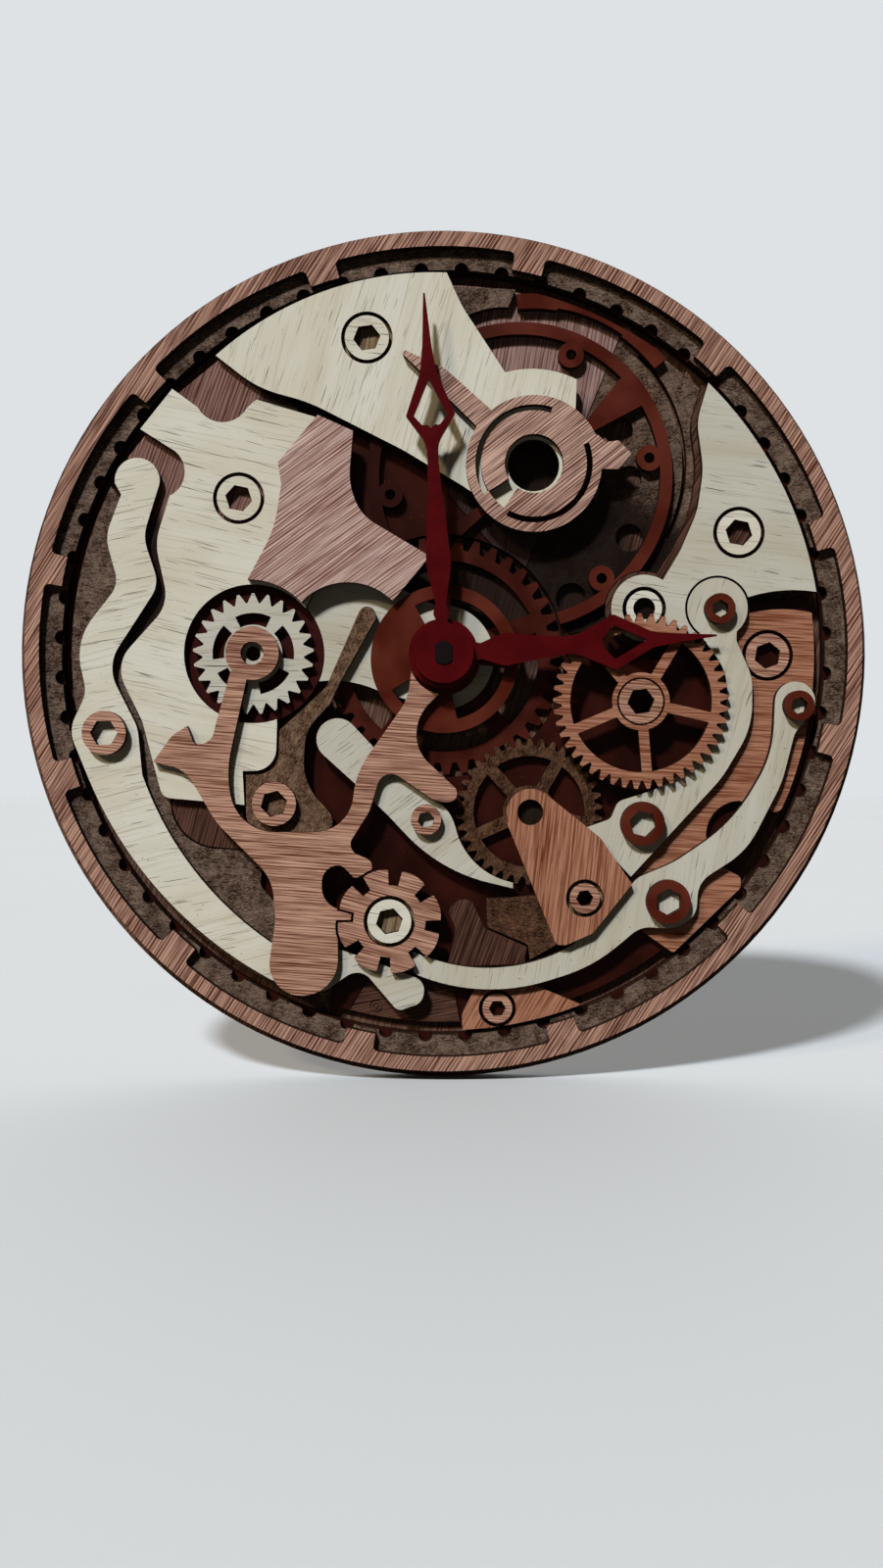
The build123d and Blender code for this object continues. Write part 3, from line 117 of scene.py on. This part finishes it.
class Finish(Nodes):
    """One finish of the clock: a material with one surface and patterns laid along its grain."""

    def __init__(self, name):
        self.material = bpy.data.materials.new(name)
        self.material.use_nodes = True
        super().__init__(self.material.node_tree)
        self.surface = self.lay("ShaderNodeBsdfPrincipled")
        output = self.lay("ShaderNodeOutputMaterial")
        self.feed(output.inputs["Surface"], self.surface.outputs["BSDF"])
        place = self.lay("ShaderNodeTexCoord")
        self.point = place.outputs["Object"]
        self.facing = place.outputs["Normal"]

    def set(self, **values):
        """Sets the surface's own sockets, named in lower case."""
        sockets = {s.name.lower().replace(" ", "_"): s for s in self.surface.inputs}
        for key, value in values.items():
            self.feed(sockets[key], value)

    def along_grain(self, lumps, grain, shift):
        """Place counted in lumps, whose sizes in mm go along the grain, through the sheet and across."""
        placed = self.lay("ShaderNodeMapping", vector_type="TEXTURE")
        self.feed(placed.inputs["Vector"], self.point)
        # Unequal steps, so that pieces shifted apart don't meet the same pattern again.
        placed.inputs["Location"].default_value = (shift, 0.31 * shift, 1.7 * shift)
        placed.inputs["Rotation"].default_value = (0, -radians(grain), 0)
        placed.inputs["Scale"].default_value = [size * MM for size in lumps]
        return placed.outputs[0]

    def pattern(self, kind, output, place, numbers, **settings):
        """Texture node of this kind, read at a place, with its numbers set by socket name."""
        texture = self.lay(kind, **settings)
        self.feed(texture.inputs["Vector"], place)
        for key, value in numbers.items():
            texture.inputs[key].default_value = value
        return texture.outputs[output]

    def cloud(self, lumps, grain=0.0, shift=0.0, detail=2.0, rough=0.5, swirl=0.0):
        """Noise with lumps of these sizes along the grain, through the sheet and across the grain."""
        numbers = {"Scale": 1.0, "Detail": detail, "Roughness": rough, "Distortion": swirl}
        return self.pattern("ShaderNodeTexNoise", 0, self.along_grain(lumps, grain, shift), numbers)

    def ripple(self, pitch, grain, shift):
        """Sine waves across the grain, this many mm apart, that wander and close up a little."""
        across = pitch * 10 / np.pi     # one wave takes a tenth of pi of a lump
        place = self.along_grain((120, 90, across), grain, shift)
        numbers = {"Scale": 1.0, "Distortion": 5.0, "Detail": 2.0, "Detail Scale": 1.3}
        return self.pattern("ShaderNodeTexWave", "Fac", place, numbers,
                            wave_type="BANDS", bands_direction="Z", wave_profile="SIN")

    def away_from(self, x, z):
        """Distance on the face from a place given in mm: the root of the two squares' total."""
        parts = self.split(self.point)
        across = self.reckon("SUBTRACT", parts[0], x * MM)
        upward = self.reckon("SUBTRACT", parts[2], z * MM)
        squares = [self.reckon("MULTIPLY", side, side) for side in (across, upward)]
        return self.reckon("SQRT", self.reckon("ADD", *squares))

    def cut_edge(self):
        """One on the cut edges of a sheet and nought on its two faces."""
        upright = self.reckon("ABSOLUTE", self.split(self.facing)[1])
        return self.between(upright, 0.45, 0.55, 1.0, 0.0)

    def raised(self, height, depth):
        """Bumps of this depth in mm."""
        node = self.lay("ShaderNodeBump")
        node.inputs["Strength"].default_value = 1.0
        node.inputs["Distance"].default_value = depth * MM
        self.feed(node.inputs["Height"], height)
        self.feed(self.surface.inputs["Normal"], node.outputs[0])


SCORCH = tone(24, 15, 10)       # charred outer plies of a cut edge
SCORCH_CORE = tone(66, 45, 31)  # browned middle ply
PAINTED_SHADE_BROWN = tone(14, 6, 4)           # painted shade laid on what lies deep
DRY = 0.04                      # gloss of bare wood and board


def scorched(finish, shift):
    """Laser-cut edge: three plies counted through the sheet, charred in streaks across the edge."""
    depth = finish.reckon("SUBTRACT", REAR_FACE, finish.split(finish.point)[1])
    through = finish.reckon("FRACT", finish.reckon("DIVIDE", depth, SHEET))
    from_middle = finish.reckon("ABSOLUTE", finish.reckon("SUBTRACT", through, 0.5))
    core = finish.reckon("ADD", finish.between(from_middle, 0.12, 0.2, 0.75, 0.0), 0.25)
    streaks = finish.cloud((0.5, 9, 0.5), shift=shift, detail=3.0)
    bare = finish.reckon("MULTIPLY", finish.between(streaks, 0.45, 0.7), core, True)
    return finish.mixed(bare, SCORCH, SCORCH_CORE)


def striped_wood(finish, pale, dark, grain, shift, pitch, ruled):
    """Colour of reddish ply: ruled lines along the grain, short streaks between them, and pores."""
    bands = finish.cloud((150, 60, 9), grain, shift, 2.0)
    swell = finish.cloud((70, 60, 2.5 * pitch), grain, shift + 0.2, 1.0)
    lines = finish.ripple(pitch, grain, shift)
    streaks = finish.cloud((20, 60, 0.4 * pitch), grain, shift + 0.7, 2.0)
    vessels = finish.cloud((8, 30, 0.25 * pitch), grain, shift + 0.4, 0.0)
    strength = finish.between(swell, 0.28, 0.62, 0.3 * ruled, ruled)
    darker = finish.reckon("MULTIPLY", finish.between(lines, 0.5, 0.96), strength)
    darker = finish.reckon("ADD", darker, finish.between(streaks, 0.34, 0.7, 0.0, 0.9 - 0.35 * ruled))
    darker = finish.reckon("ADD", darker, finish.between(bands, 0.25, 0.75, 0.0, 0.16), True)
    deep = [0.42 * part for part in dark[:3]] + [1.0]
    vessel = finish.between(vessels, 0.68, 0.76)
    wood = finish.mixed(finish.reckon("MULTIPLY", vessel, 0.5), finish.mixed(darker, pale, dark), deep)
    finish.set(roughness=finish.between(streaks, 0.3, 0.7, 0.56, 0.68), specular_ior_level=DRY)
    finish.raised(finish.reckon("SUBTRACT", finish.reckon("MULTIPLY", streaks, -0.5), vessel), 0.03)
    return wood


def striped_ply(name, pale, dark, grain, shift, pitch, ruled, painted_shade=None):
    """Reddish striped ply with charred edges, and painted shade where it lies deep."""
    finish = Finish(name)
    wood = striped_wood(finish, pale, dark, grain, shift, pitch, ruled)
    if painted_shade:
        # painted shade: a share of dark brown laid over the wood
        wood = finish.mixed(painted_shade(finish), wood, PAINTED_SHADE_BROWN)
    finish.set(base_color=finish.mixed(finish.cut_edge(), wood, scorched(finish, shift)))
    return finish.material


def under_ply(name, grain, shift):
    """Dark red ply, darkened along the gaps beside the left plate and darker red inside the escape
    gear's recess, both as painted shade.
    """
    finish = Finish(name)
    wood = striped_wood(finish, tone(138, 106, 96), tone(64, 34, 27), grain, shift, 1.3, 0.6)
    parts = finish.split(finish.point)
    # painted shade in the gaps beside the left plate
    left_gap = finish.reckon("MULTIPLY", finish.between(parts[0], -97 * MM, -94 * MM, 1.0, 0.0),
                             finish.between(parts[2], 46 * MM, 54 * MM, 1.0, 0.0))
    top_gap = finish.reckon("MULTIPLY", finish.between(parts[0], -69 * MM, -63 * MM),
                            finish.between(parts[2], 70 * MM, 76 * MM))
    gaps = finish.reckon("ADD", left_gap, top_gap, True)
    wood = finish.mixed(finish.reckon("MULTIPLY", gaps, 0.93), wood, PAINTED_SHADE_BROWN)
    # darker red inside the escape gear's recess: painted shade
    patchy = finish.cloud((7, 7, 7), 0, shift, 3.0)
    paint = finish.mixed(patchy, tone(52, 16, 12), tone(36, 10, 8))
    outside = finish.between(finish.away_from(*ESCAPE_PLACE), 25.6 * MM, 25.9 * MM)
    wood = finish.mixed(outside, paint, wood)
    finish.set(base_color=finish.mixed(finish.cut_edge(), wood, scorched(finish, shift)))
    return finish.material


CREAM = tone(206, 203, 189)
CREAM_SHADE = tone(197, 191, 172)
CREAM_BAND = tone(184, 174, 150)
CREAM_HAIR = tone(140, 120, 92)
CREAM_CHECK = tone(58, 42, 30)


def cream_ply(name, level, grain, shift):
    """Cream ply: a faint drift of warm and cool, hair-thin lines along the grain, and dark checks."""
    finish = Finish(name)
    drift = finish.cloud((46, 60, 22), grain, shift, 3.0)
    bands = finish.cloud((90, 60, 7), grain, shift + 0.3, 2.0)
    faint = finish.cloud((60, 40, 0.7), grain, shift + 0.6, 1.0)
    hairs = finish.cloud((34, 40, 0.3), grain + 2, shift, 0.0, swirl=0.15)
    checks = finish.cloud((13, 40, 0.24), grain - 3, shift + 0.9, 0.0, swirl=0.2)
    dots = finish.cloud((0.9, 9, 0.6), grain, shift + 0.5, 0.0)
    wood = finish.mixed(finish.between(drift, 0.3, 0.7), CREAM, CREAM_SHADE)
    wood = finish.mixed(finish.between(bands, 0.42, 0.75, 0.0, 0.4), wood, CREAM_BAND)
    wood = finish.mixed(finish.between(faint, 0.5, 0.75, 0.0, 0.15), wood, CREAM_HAIR)
    wood = finish.mixed(finish.between(hairs, 0.71, 0.78, 0.0, 0.5), wood, CREAM_HAIR)
    check = finish.between(checks, 0.75, 0.8)
    wood = finish.mixed(finish.reckon("MULTIPLY", check, 0.9), wood, CREAM_CHECK)
    wood = finish.mixed(finish.between(dots, 0.82, 0.88, 0.0, 0.7), wood, CREAM_CHECK)
    # level darkens the whole sheet; the lower level of the darker cream pieces is painted shade
    wood = finish.mixed(1.0, wood, (level, level, level, 1.0), "MULTIPLY")
    finish.set(base_color=finish.mixed(finish.cut_edge(), wood, scorched(finish, shift)),
               roughness=finish.between(drift, 0.3, 0.7, 0.55, 0.65),
               specular_ior_level=DRY)
    finish.raised(finish.reckon("SUBTRACT", finish.reckon("MULTIPLY", hairs, -0.4), check), 0.04)
    return finish.material


def pale_ply(name, grain, shift):
    """Cream ply of a clean, pale sheet."""
    return cream_ply(name, 0.96, grain, shift)


def dull_ply(name, grain, shift):
    """Cream ply darkened as a whole: painted shade for the pieces lower down and further right, where
    less light falls.
    """
    return cream_ply(name, 0.76, grain, shift)


def pink_ply(name, grain, shift):
    """Pinkish ply with close lines."""
    return striped_ply(name, tone(196, 171, 161), tone(106, 61, 48), grain, shift, 1.0, 0.65)


def regulator_ply(name, grain, shift):
    """Pinkish ply with darker lines, for the regulator."""
    return striped_ply(name, tone(200, 166, 149), tone(76, 36, 22), grain, shift, 1.05, 0.6)


def red_ply(name, grain, shift):
    """Red ply with more streaks than lines."""
    return striped_ply(name, tone(189, 149, 127), tone(88, 41, 23), grain, shift, 1.05, 0.4)


def rim_ply(name, grain, shift):
    """Red ply of the bezel, with dark lines further apart."""
    return striped_ply(name, tone(181, 142, 123), tone(66, 29, 16), grain, shift, 1.15, 0.5)


def orange_ply(name, grain, shift):
    """Orange ply, nearly without ruled lines."""
    return striped_ply(name, tone(165, 118, 94), tone(101, 53, 31), grain, shift, 1.2, 0.12)


def high_up(finish):
    """Share of painted shade on the balance inlay: none at its top, most from the regulator's middle
    down.
    """
    return finish.between(finish.split(finish.point)[2], 82 * MM, 92 * MM, 0.9, 0.0)


def inlay_ply(name, grain, shift):
    """Greyish red ply of the balance inlay, with painted shade below its top."""
    return striped_ply(name, tone(150, 124, 117), tone(86, 56, 49), grain, shift, 1.3, 0.5, high_up)


def on_the_face(finish):
    """Share of painted shade on the back plate: none on its rear, some on its face, most where it is
    deep.
    """
    face = finish.between(finish.split(finish.facing)[1], -0.6, -0.4, 1.0, 0.0)
    share = finish.between(finish.away_from(*DEEP_PLACE), 38 * MM, 54 * MM, 0.96, 0.66)
    return finish.reckon("MULTIPLY", face, share)


def base_ply(name, grain, shift):
    """Brownish red ply of the back plate, with painted shade on its face."""
    return striped_ply(name, tone(166, 130, 111), tone(92, 54, 39), grain, shift, 1.3, 0.4, on_the_face)


def under_the_hole(finish):
    """Share of painted shade on the right backing, found only below the hole beside the hour hand."""
    return finish.between(finish.away_from(*HOLE_PLACE), 7 * MM, 8 * MM, 0.95, 0.0)


def backing_ply(name, grain, shift):
    """Dark ply of the right backing, with painted shade under the hole."""
    return striped_ply(name, tone(92, 64, 51), tone(32, 15, 10), grain, shift, 1.2, 0.4, under_the_hole)


def dark_ply(name, grain, shift):
    """Dark ply of the lowest inlays."""
    return striped_ply(name, tone(90, 62, 50), tone(32, 15, 10), grain, shift, 1.2, 0.4)


def under_the_strap(finish):
    """Share of painted shade on the blocks, found only below the strap's bore."""
    return finish.between(finish.away_from(*STRAP_PLACE), 7 * MM, 8 * MM, 0.95, 0.0)


def tan_ply(name, grain, shift):
    """Tan ply of the spacer blocks, with painted shade under the strap's bore."""
    pale, dark = tone(138, 119, 92), tone(84, 64, 43)
    return striped_ply(name, pale, dark, grain, shift, 1.3, 0.2, under_the_strap)


def pressed_board(name, pale, dark, grain, shift, smoke=None):
    """Pressed fibre: mottled lumps with short swirled fibres, browned edges and painted shade where a
    mask is given.
    """
    finish = Finish(name)
    mottle = finish.cloud((5, 5, 5), 0, shift, 4.0, 0.6)
    fibres = finish.cloud((1.6, 1.6, 0.5), grain, shift, 4.0, 0.65, 1.6)
    crumbs = finish.cloud((0.8, 0.8, 0.8), 0, shift, 2.0)
    darker = finish.reckon("ADD", finish.between(mottle, 0.33, 0.66, 0.0, 0.42),
                           finish.between(fibres, 0.36, 0.62, 0.0, 0.76), True)
    board = finish.mixed(darker, pale, dark)
    deep = [0.45 * part for part in dark[:3]] + [1.0]
    board = finish.mixed(finish.between(crumbs, 0.66, 0.76, 0.0, 0.6), board, deep)
    # painted shade where the mask is given
    if smoke:
        board = finish.mixed(smoke(finish), board, PAINTED_SHADE_BROWN)
    edge = finish.cut_edge()
    browned = finish.mixed(finish.between(fibres, 0.4, 0.65), tone(22, 14, 10), tone(50, 35, 25))
    finish.set(base_color=finish.mixed(edge, board, browned),
               roughness=finish.between(mottle, 0.3, 0.7, 0.68, 0.8),
               specular_ior_level=DRY)
    finish.raised(fibres, 0.06)
    return finish.material


def fibreboard(name, grain, shift):
    """Raw brown board."""
    return pressed_board(name, tone(122, 103, 89), tone(35, 18, 9), grain, shift)


def stained_board(name, grain, shift):
    """Board stained a warmer brown."""
    return pressed_board(name, tone(128, 102, 81), tone(47, 27, 14), grain, shift)


def lower_left(finish):
    """Share of painted shadow on the balance floor: none above a slanting line below the regulator."""
    parts = finish.split(finish.point)
    along = finish.reckon("ADD", parts[2], finish.reckon("MULTIPLY", parts[0], 0.63))
    return finish.between(along, 93 * MM, 110 * MM, 0.95, 0.0)


def worn_board(name, grain, shift):
    """Raw board of the balance floor, with painted shadow on its lower left, below the regulator."""
    return pressed_board(name, tone(120, 100, 85), tone(35, 19, 11), grain, shift, lower_left)


def smoked_board(name, grain, shift):
    """Board darkened all over."""
    return pressed_board(name, tone(100, 71, 52), tone(27, 11, 4), grain, shift)


def rolled_paint(name, pale, dark, shift, smoke=None):
    """Rolled paint: a slow drift of tone, fine peel, dust specks, charred edges and painted shade where
    a mask is given.
    """
    finish = Finish(name)
    drift = finish.cloud((16, 16, 16), 0, shift, 2.0)
    peel = finish.cloud((0.9, 0.9, 0.9), 0, shift, 2.0)
    dust = finish.cloud((0.6, 0.6, 0.45), 0, shift + 0.2, 1.0)
    paint = finish.mixed(finish.between(drift, 0.3, 0.7), pale, dark)
    paint = finish.mixed(finish.between(dust, 0.76, 0.82, 0.0, 0.55), paint, tone(128, 84, 66))
    # painted shade where the mask is given, in a darker red
    if smoke:
        paint = finish.mixed(smoke(finish), paint, tone(26, 7, 5))
    edge = finish.cut_edge()
    char = finish.mixed(finish.between(peel, 0.4, 0.7), tone(20, 10, 7), tone(46, 20, 14))
    finish.set(base_color=finish.mixed(edge, paint, char),
               roughness=finish.between(peel, 0.3, 0.7, 0.4, 0.5),
               specular_ior_level=0.03)
    finish.raised(peel, 0.02)
    return finish.material


def brick_paint(name, grain, shift):
    """Brick-red paint."""
    return rolled_paint(name, tone(85, 37, 25), tone(62, 19, 9), shift)


def left_side(finish):
    """Share of painted shadow on the balance wheel, which grows towards its left."""
    return finish.between(finish.split(finish.point)[0], 0 * MM, 32 * MM, 0.88, 0.0)


def wheel_paint(name, grain, shift):
    """Brick-red paint of the balance wheel, with painted shadow towards its left."""
    return rolled_paint(name, tone(83, 36, 26), tone(61, 19, 10), shift, left_side)


def dim_paint(name, grain, shift):
    """Brick-red paint, a shade darker."""
    return rolled_paint(name, tone(68, 28, 20), tone(44, 11, 6), shift)


def thin_paint(name, grain, shift):
    """Dark red paint of the lowest sheets, made darker still as painted shade for these deep sheets."""
    return rolled_paint(name, tone(46, 16, 10), tone(28, 8, 5), shift)


def hand_lacquer(name, grain, shift):
    """Crimson lacquer: nearly even, with a faint drift of tone and a soft gloss."""
    finish = Finish(name)
    drift = finish.cloud((9, 9, 9), 0, shift, 3.0)
    peel = finish.cloud((1.3, 1.3, 1.3), 0, shift, 1.0)
    finish.set(base_color=finish.mixed(finish.between(drift, 0.3, 0.7), tone(72, 6, 9), tone(62, 3, 6)),
               roughness=finish.between(peel, 0.3, 0.7, 0.3, 0.4),
               specular_ior_level=0.04)
    finish.raised(peel, 0.015)
    return finish.material


def moulded(name, pale, dark, rough, gloss, shift):
    """Moulded skin: a slow drift of tone and a fine spark grain that varies the gloss."""
    finish = Finish(name)
    spark = finish.cloud((0.35, 0.35, 0.35), 0, shift, 2.0)
    drift = finish.cloud((8, 8, 8), 0, shift, 2.0)
    finish.set(base_color=finish.mixed(finish.between(drift, 0.3, 0.7), pale, dark),
               roughness=finish.between(spark, 0.3, 0.7, rough - 0.06, rough + 0.08),
               specular_ior_level=gloss)
    finish.raised(spark, 0.02)
    return finish.material


def bare_metal(name, pale, dark, rough, lumps, shift):
    """Bare metal: stains in slow lumps, and drawn or turned lines that vary the gloss."""
    finish = Finish(name)
    lines = finish.cloud(lumps, 0, shift, 3.0)
    stain = finish.cloud((6, 6, 6), 0, shift, 3.0)
    finish.set(base_color=finish.mixed(finish.between(stain, 0.35, 0.7), pale, dark),
               metallic=1.0,
               roughness=finish.between(lines, 0.3, 0.7, rough - 0.08, rough + 0.1))
    finish.raised(lines, 0.01)
    return finish.material


def black_plastic(name, grain, shift):
    """Black plastic of the movement's case."""
    return moulded(name, tone(30, 30, 31), tone(23, 23, 24), 0.45, 0.2, shift)


def white_plastic(name, grain, shift):
    """White plastic of the wheels."""
    return moulded(name, tone(226, 223, 213), tone(214, 210, 198), 0.35, 0.35, shift)


def black_steel(name, grain, shift):
    """Blackened steel, dull and nearly without gloss."""
    return moulded(name, tone(17, 9, 9), tone(11, 6, 6), 0.4, 0.05, shift)


def brass(name, grain, shift):
    """Turned brass."""
    return bare_metal(name, tone(214, 178, 104), tone(188, 148, 82), 0.3, (4, 0.12, 4), shift)


def sheet_steel(name, grain, shift):
    """Grey sheet steel with drawn lines."""
    return bare_metal(name, tone(196, 198, 200), tone(172, 174, 176), 0.34, (6, 6, 0.15), shift)


def copper_wire(name, grain, shift):
    """Wound copper wire."""
    return bare_metal(name, tone(196, 112, 70), tone(166, 88, 52), 0.35, (0.16, 4, 4), shift)


def cell_sleeve(name, grain, shift):
    """Battery: a plain slate sleeve between bare steel ends, told apart along its length."""
    finish = Finish(name)
    along = finish.split(finish.point)[0]
    half_stud = 0.6 * MM
    middle = 0.5 * (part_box("battery")[0].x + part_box("battery")[1].x) - half_stud
    reach = finish.reckon("ABSOLUTE", finish.reckon("SUBTRACT", along, middle))
    bare = finish.between(reach, 23.0 * MM, 23.3 * MM)
    drift = finish.cloud((12, 5, 5), 0, shift, 2.0)
    sleeve = finish.mixed(finish.between(drift, 0.3, 0.7), tone(62, 78, 92), tone(54, 68, 81))
    finish.set(base_color=finish.mixed(bare, sleeve, tone(190, 190, 192)),
               metallic=bare,
               roughness=finish.between(drift, 0.3, 0.7, 0.28, 0.36))
    finish.raised(drift, 0.02)
    return finish.material


# What each piece is made of, and the way its grain runs, in degrees from three o'clock towards twelve.
CUT_FROM = {
    pale_ply: dict(balance_bridge=74, left_plate=-12, left_lever=13, pale_caps=-5),
    # darker cream pieces: painted shade
    dull_ply: dict(escape_gear=2, s_lever=38, tail_spring=18, right_plate=-8, right_lever=74,
                   long_spring=80, centre_crescent=-10),
    pink_ply: dict(left_overlay=36),
    under_ply: dict(left_under_plate=70),
    regulator_ply: dict(regulator=38),
    rim_ply: dict(bezel_ring=57),
    red_ply: dict(fork_lever=-4, star_pinion=-15, wood_caps=-5),
    orange_ply: dict(right_lower_plate=-3, bottom_wedge=60, spoked_gear=-3, strap=84),
    inlay_ply: dict(balance_inlay=80),
    base_ply: dict(back_plate=75),
    backing_ply: dict(right_backing=60),
    dark_ply: dict(bottom_inlay=10, lower_left_inlay=75, lower_wood=70),
    tan_ply: dict(spacer_blocks=80),
    fibreboard: dict(minute_ring=0, left_floor=0, rim_block=40),
    worn_board: dict(balance_floor=20),
    stained_board: dict(brown_lever=60),
    smoked_board: dict(brown_gear=70, lower_bar=0),
    wheel_paint: dict(balance_wheel=0),
    brick_paint: dict(rim_arc=0, centre_disc=0, red_caps=0),
    dim_paint: dict(centre_wheel=0),
    thin_paint: dict(spacer_ring=0, red_floor=0),
    hand_lacquer: dict(minute_hand=0, hour_hand=0),
    black_plastic: dict(movement_case=0, rear_cover=0),
    white_plastic: dict(hour_wheel=0, setting_wheel=0, setting_knob=0, third_wheel=0),
    black_steel: dict(minute_arbor=0, minute_hub=0),
    brass: dict(neck_nut=0),
    sheet_steel: dict(hanger_plate=0, battery_contacts=0, stator=0, rotor=0),
    copper_wire: dict(drive_coil=0),
    cell_sleeve: dict(battery=0),
}


def dress(nodes):
    """Gives every piece its own finish, with the pattern shifted so that no two pieces repeat it."""
    shift = 0.0
    for kind, pieces in CUT_FROM.items():
        for node, grain in pieces.items():
            shift += 0.137
            slots = nodes[node].data.materials
            slots.clear()
            slots.append(kind(f"{kind.__name__}_{node}", grain, shift))


def stand(name, data):
    """Puts a mesh, a lamp or a camera into the scene."""
    thing = bpy.data.objects.new(name, data)
    bpy.context.scene.collection.objects.link(thing)
    return thing


def lay_floor():
    """Pale floor: one square about the clock's foot, which throws little light back at the face."""
    half = 3.0
    square = np.array([(-half, -half, 0), (half, -half, 0), (half, half, 0), (-half, half, 0)])
    mesh = bpy.data.meshes.new("studio_floor")
    mesh.from_pydata((square + (0, 0, FLOOR_HEIGHT)).tolist(), [], [(0, 1, 2, 3)])
    floor = stand("studio_floor", mesh)
    finish = Finish("studio_floor")
    haze = finish.cloud((300, 300, 300), 0, 0.5, 2.0)
    pale = finish.mixed(haze, tone(185, 188, 189), tone(180, 183, 184))
    behind = finish.between(finish.split(finish.point)[1], 0.02, 0.2)
    thrown = finish.mixed(behind, tone(40, 36, 30), pale)
    finish.set(base_color=finish.mixed(finish.direct_rays(), thrown, pale),
               roughness=0.7, specular_ior_level=0.1)
    mesh.materials.append(finish.material)


MAIN_LAMP = (0.88, 0.926, 1.0)          # cool
SIDE_LAMP = (1.0, 0.79, 0.47)           # warm
FRONT_ROOM = (0.03, 0.021, 0.011, 1.0)  # dim, before the face
REAR_ROOM = (1.2, 1.2, 1.2, 1.0)        # bright, behind the clock
BACKDROP = tone(222, 226, 229)          # the room as it is seen


def hang_lamp(name, across, up, energy, width, colour):
    """Far lamp in front of the face: metres across and up for each metre forward, and degrees wide."""
    lamp = bpy.data.lights.new(name, "SUN")
    lamp.angle = radians(width)
    lamp.energy = energy
    lamp.color = colour
    place = stand(name, lamp)
    place.location = (across, -1.0, up)
    place.rotation_euler = (-place.location).to_track_quat("-Z", "Y").to_euler()


def light_studio():
    """A main lamp high in front, a weaker one further left, and a room paler behind the clock."""
    hang_lamp("main_lamp", -0.5, 1.1, 4.3, 6, MAIN_LAMP)
    hang_lamp("side_lamp", -1.05, 0.95, 1.03, 7, SIDE_LAMP)

    world = bpy.data.worlds.new("room")
    bpy.context.scene.world = world
    world.use_nodes = True
    room = Nodes(world.node_tree)
    way = room.split(room.lay("ShaderNodeTexCoord").outputs["Generated"])
    behind = room.between(way[1], -0.05, 0.5)
    fill = room.lay("ShaderNodeBackground")
    room.feed(fill.inputs["Color"], room.mixed(behind, FRONT_ROOM, REAR_ROOM))
    seen = room.lay("ShaderNodeBackground")
    room.feed(seen.inputs["Color"], BACKDROP)
    either = room.lay("ShaderNodeMixShader")
    for socket, value in zip(either.inputs, (room.direct_rays(), fill.outputs[0], seen.outputs[0])):
        room.feed(socket, value)
    room.feed(room.lay("ShaderNodeOutputWorld").inputs["Surface"], either.outputs[0])


EYE = (-0.000654, REAR_FACE - 0.4391, -0.036)   # place in metres, counted forward from the rear face
TIPPED = 1.38                                   # degrees down
LENS = 27.34                                    # mm, on a film 36 mm high


def place_camera():
    """In front of the face, a little below its middle, tipped down slightly."""
    camera = bpy.data.cameras.new("front_view")
    camera.sensor_fit = "VERTICAL"
    camera.sensor_height = 36.0
    camera.lens = LENS
    view = stand("front_view", camera)
    view.location = EYE
    view.rotation_euler = (radians(90 - TIPPED), 0, 0)
    bpy.context.scene.camera = view


bpy.context.scene.view_settings.view_transform = "Standard"
place_camera()
light_studio()
lay_floor()
dress(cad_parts)
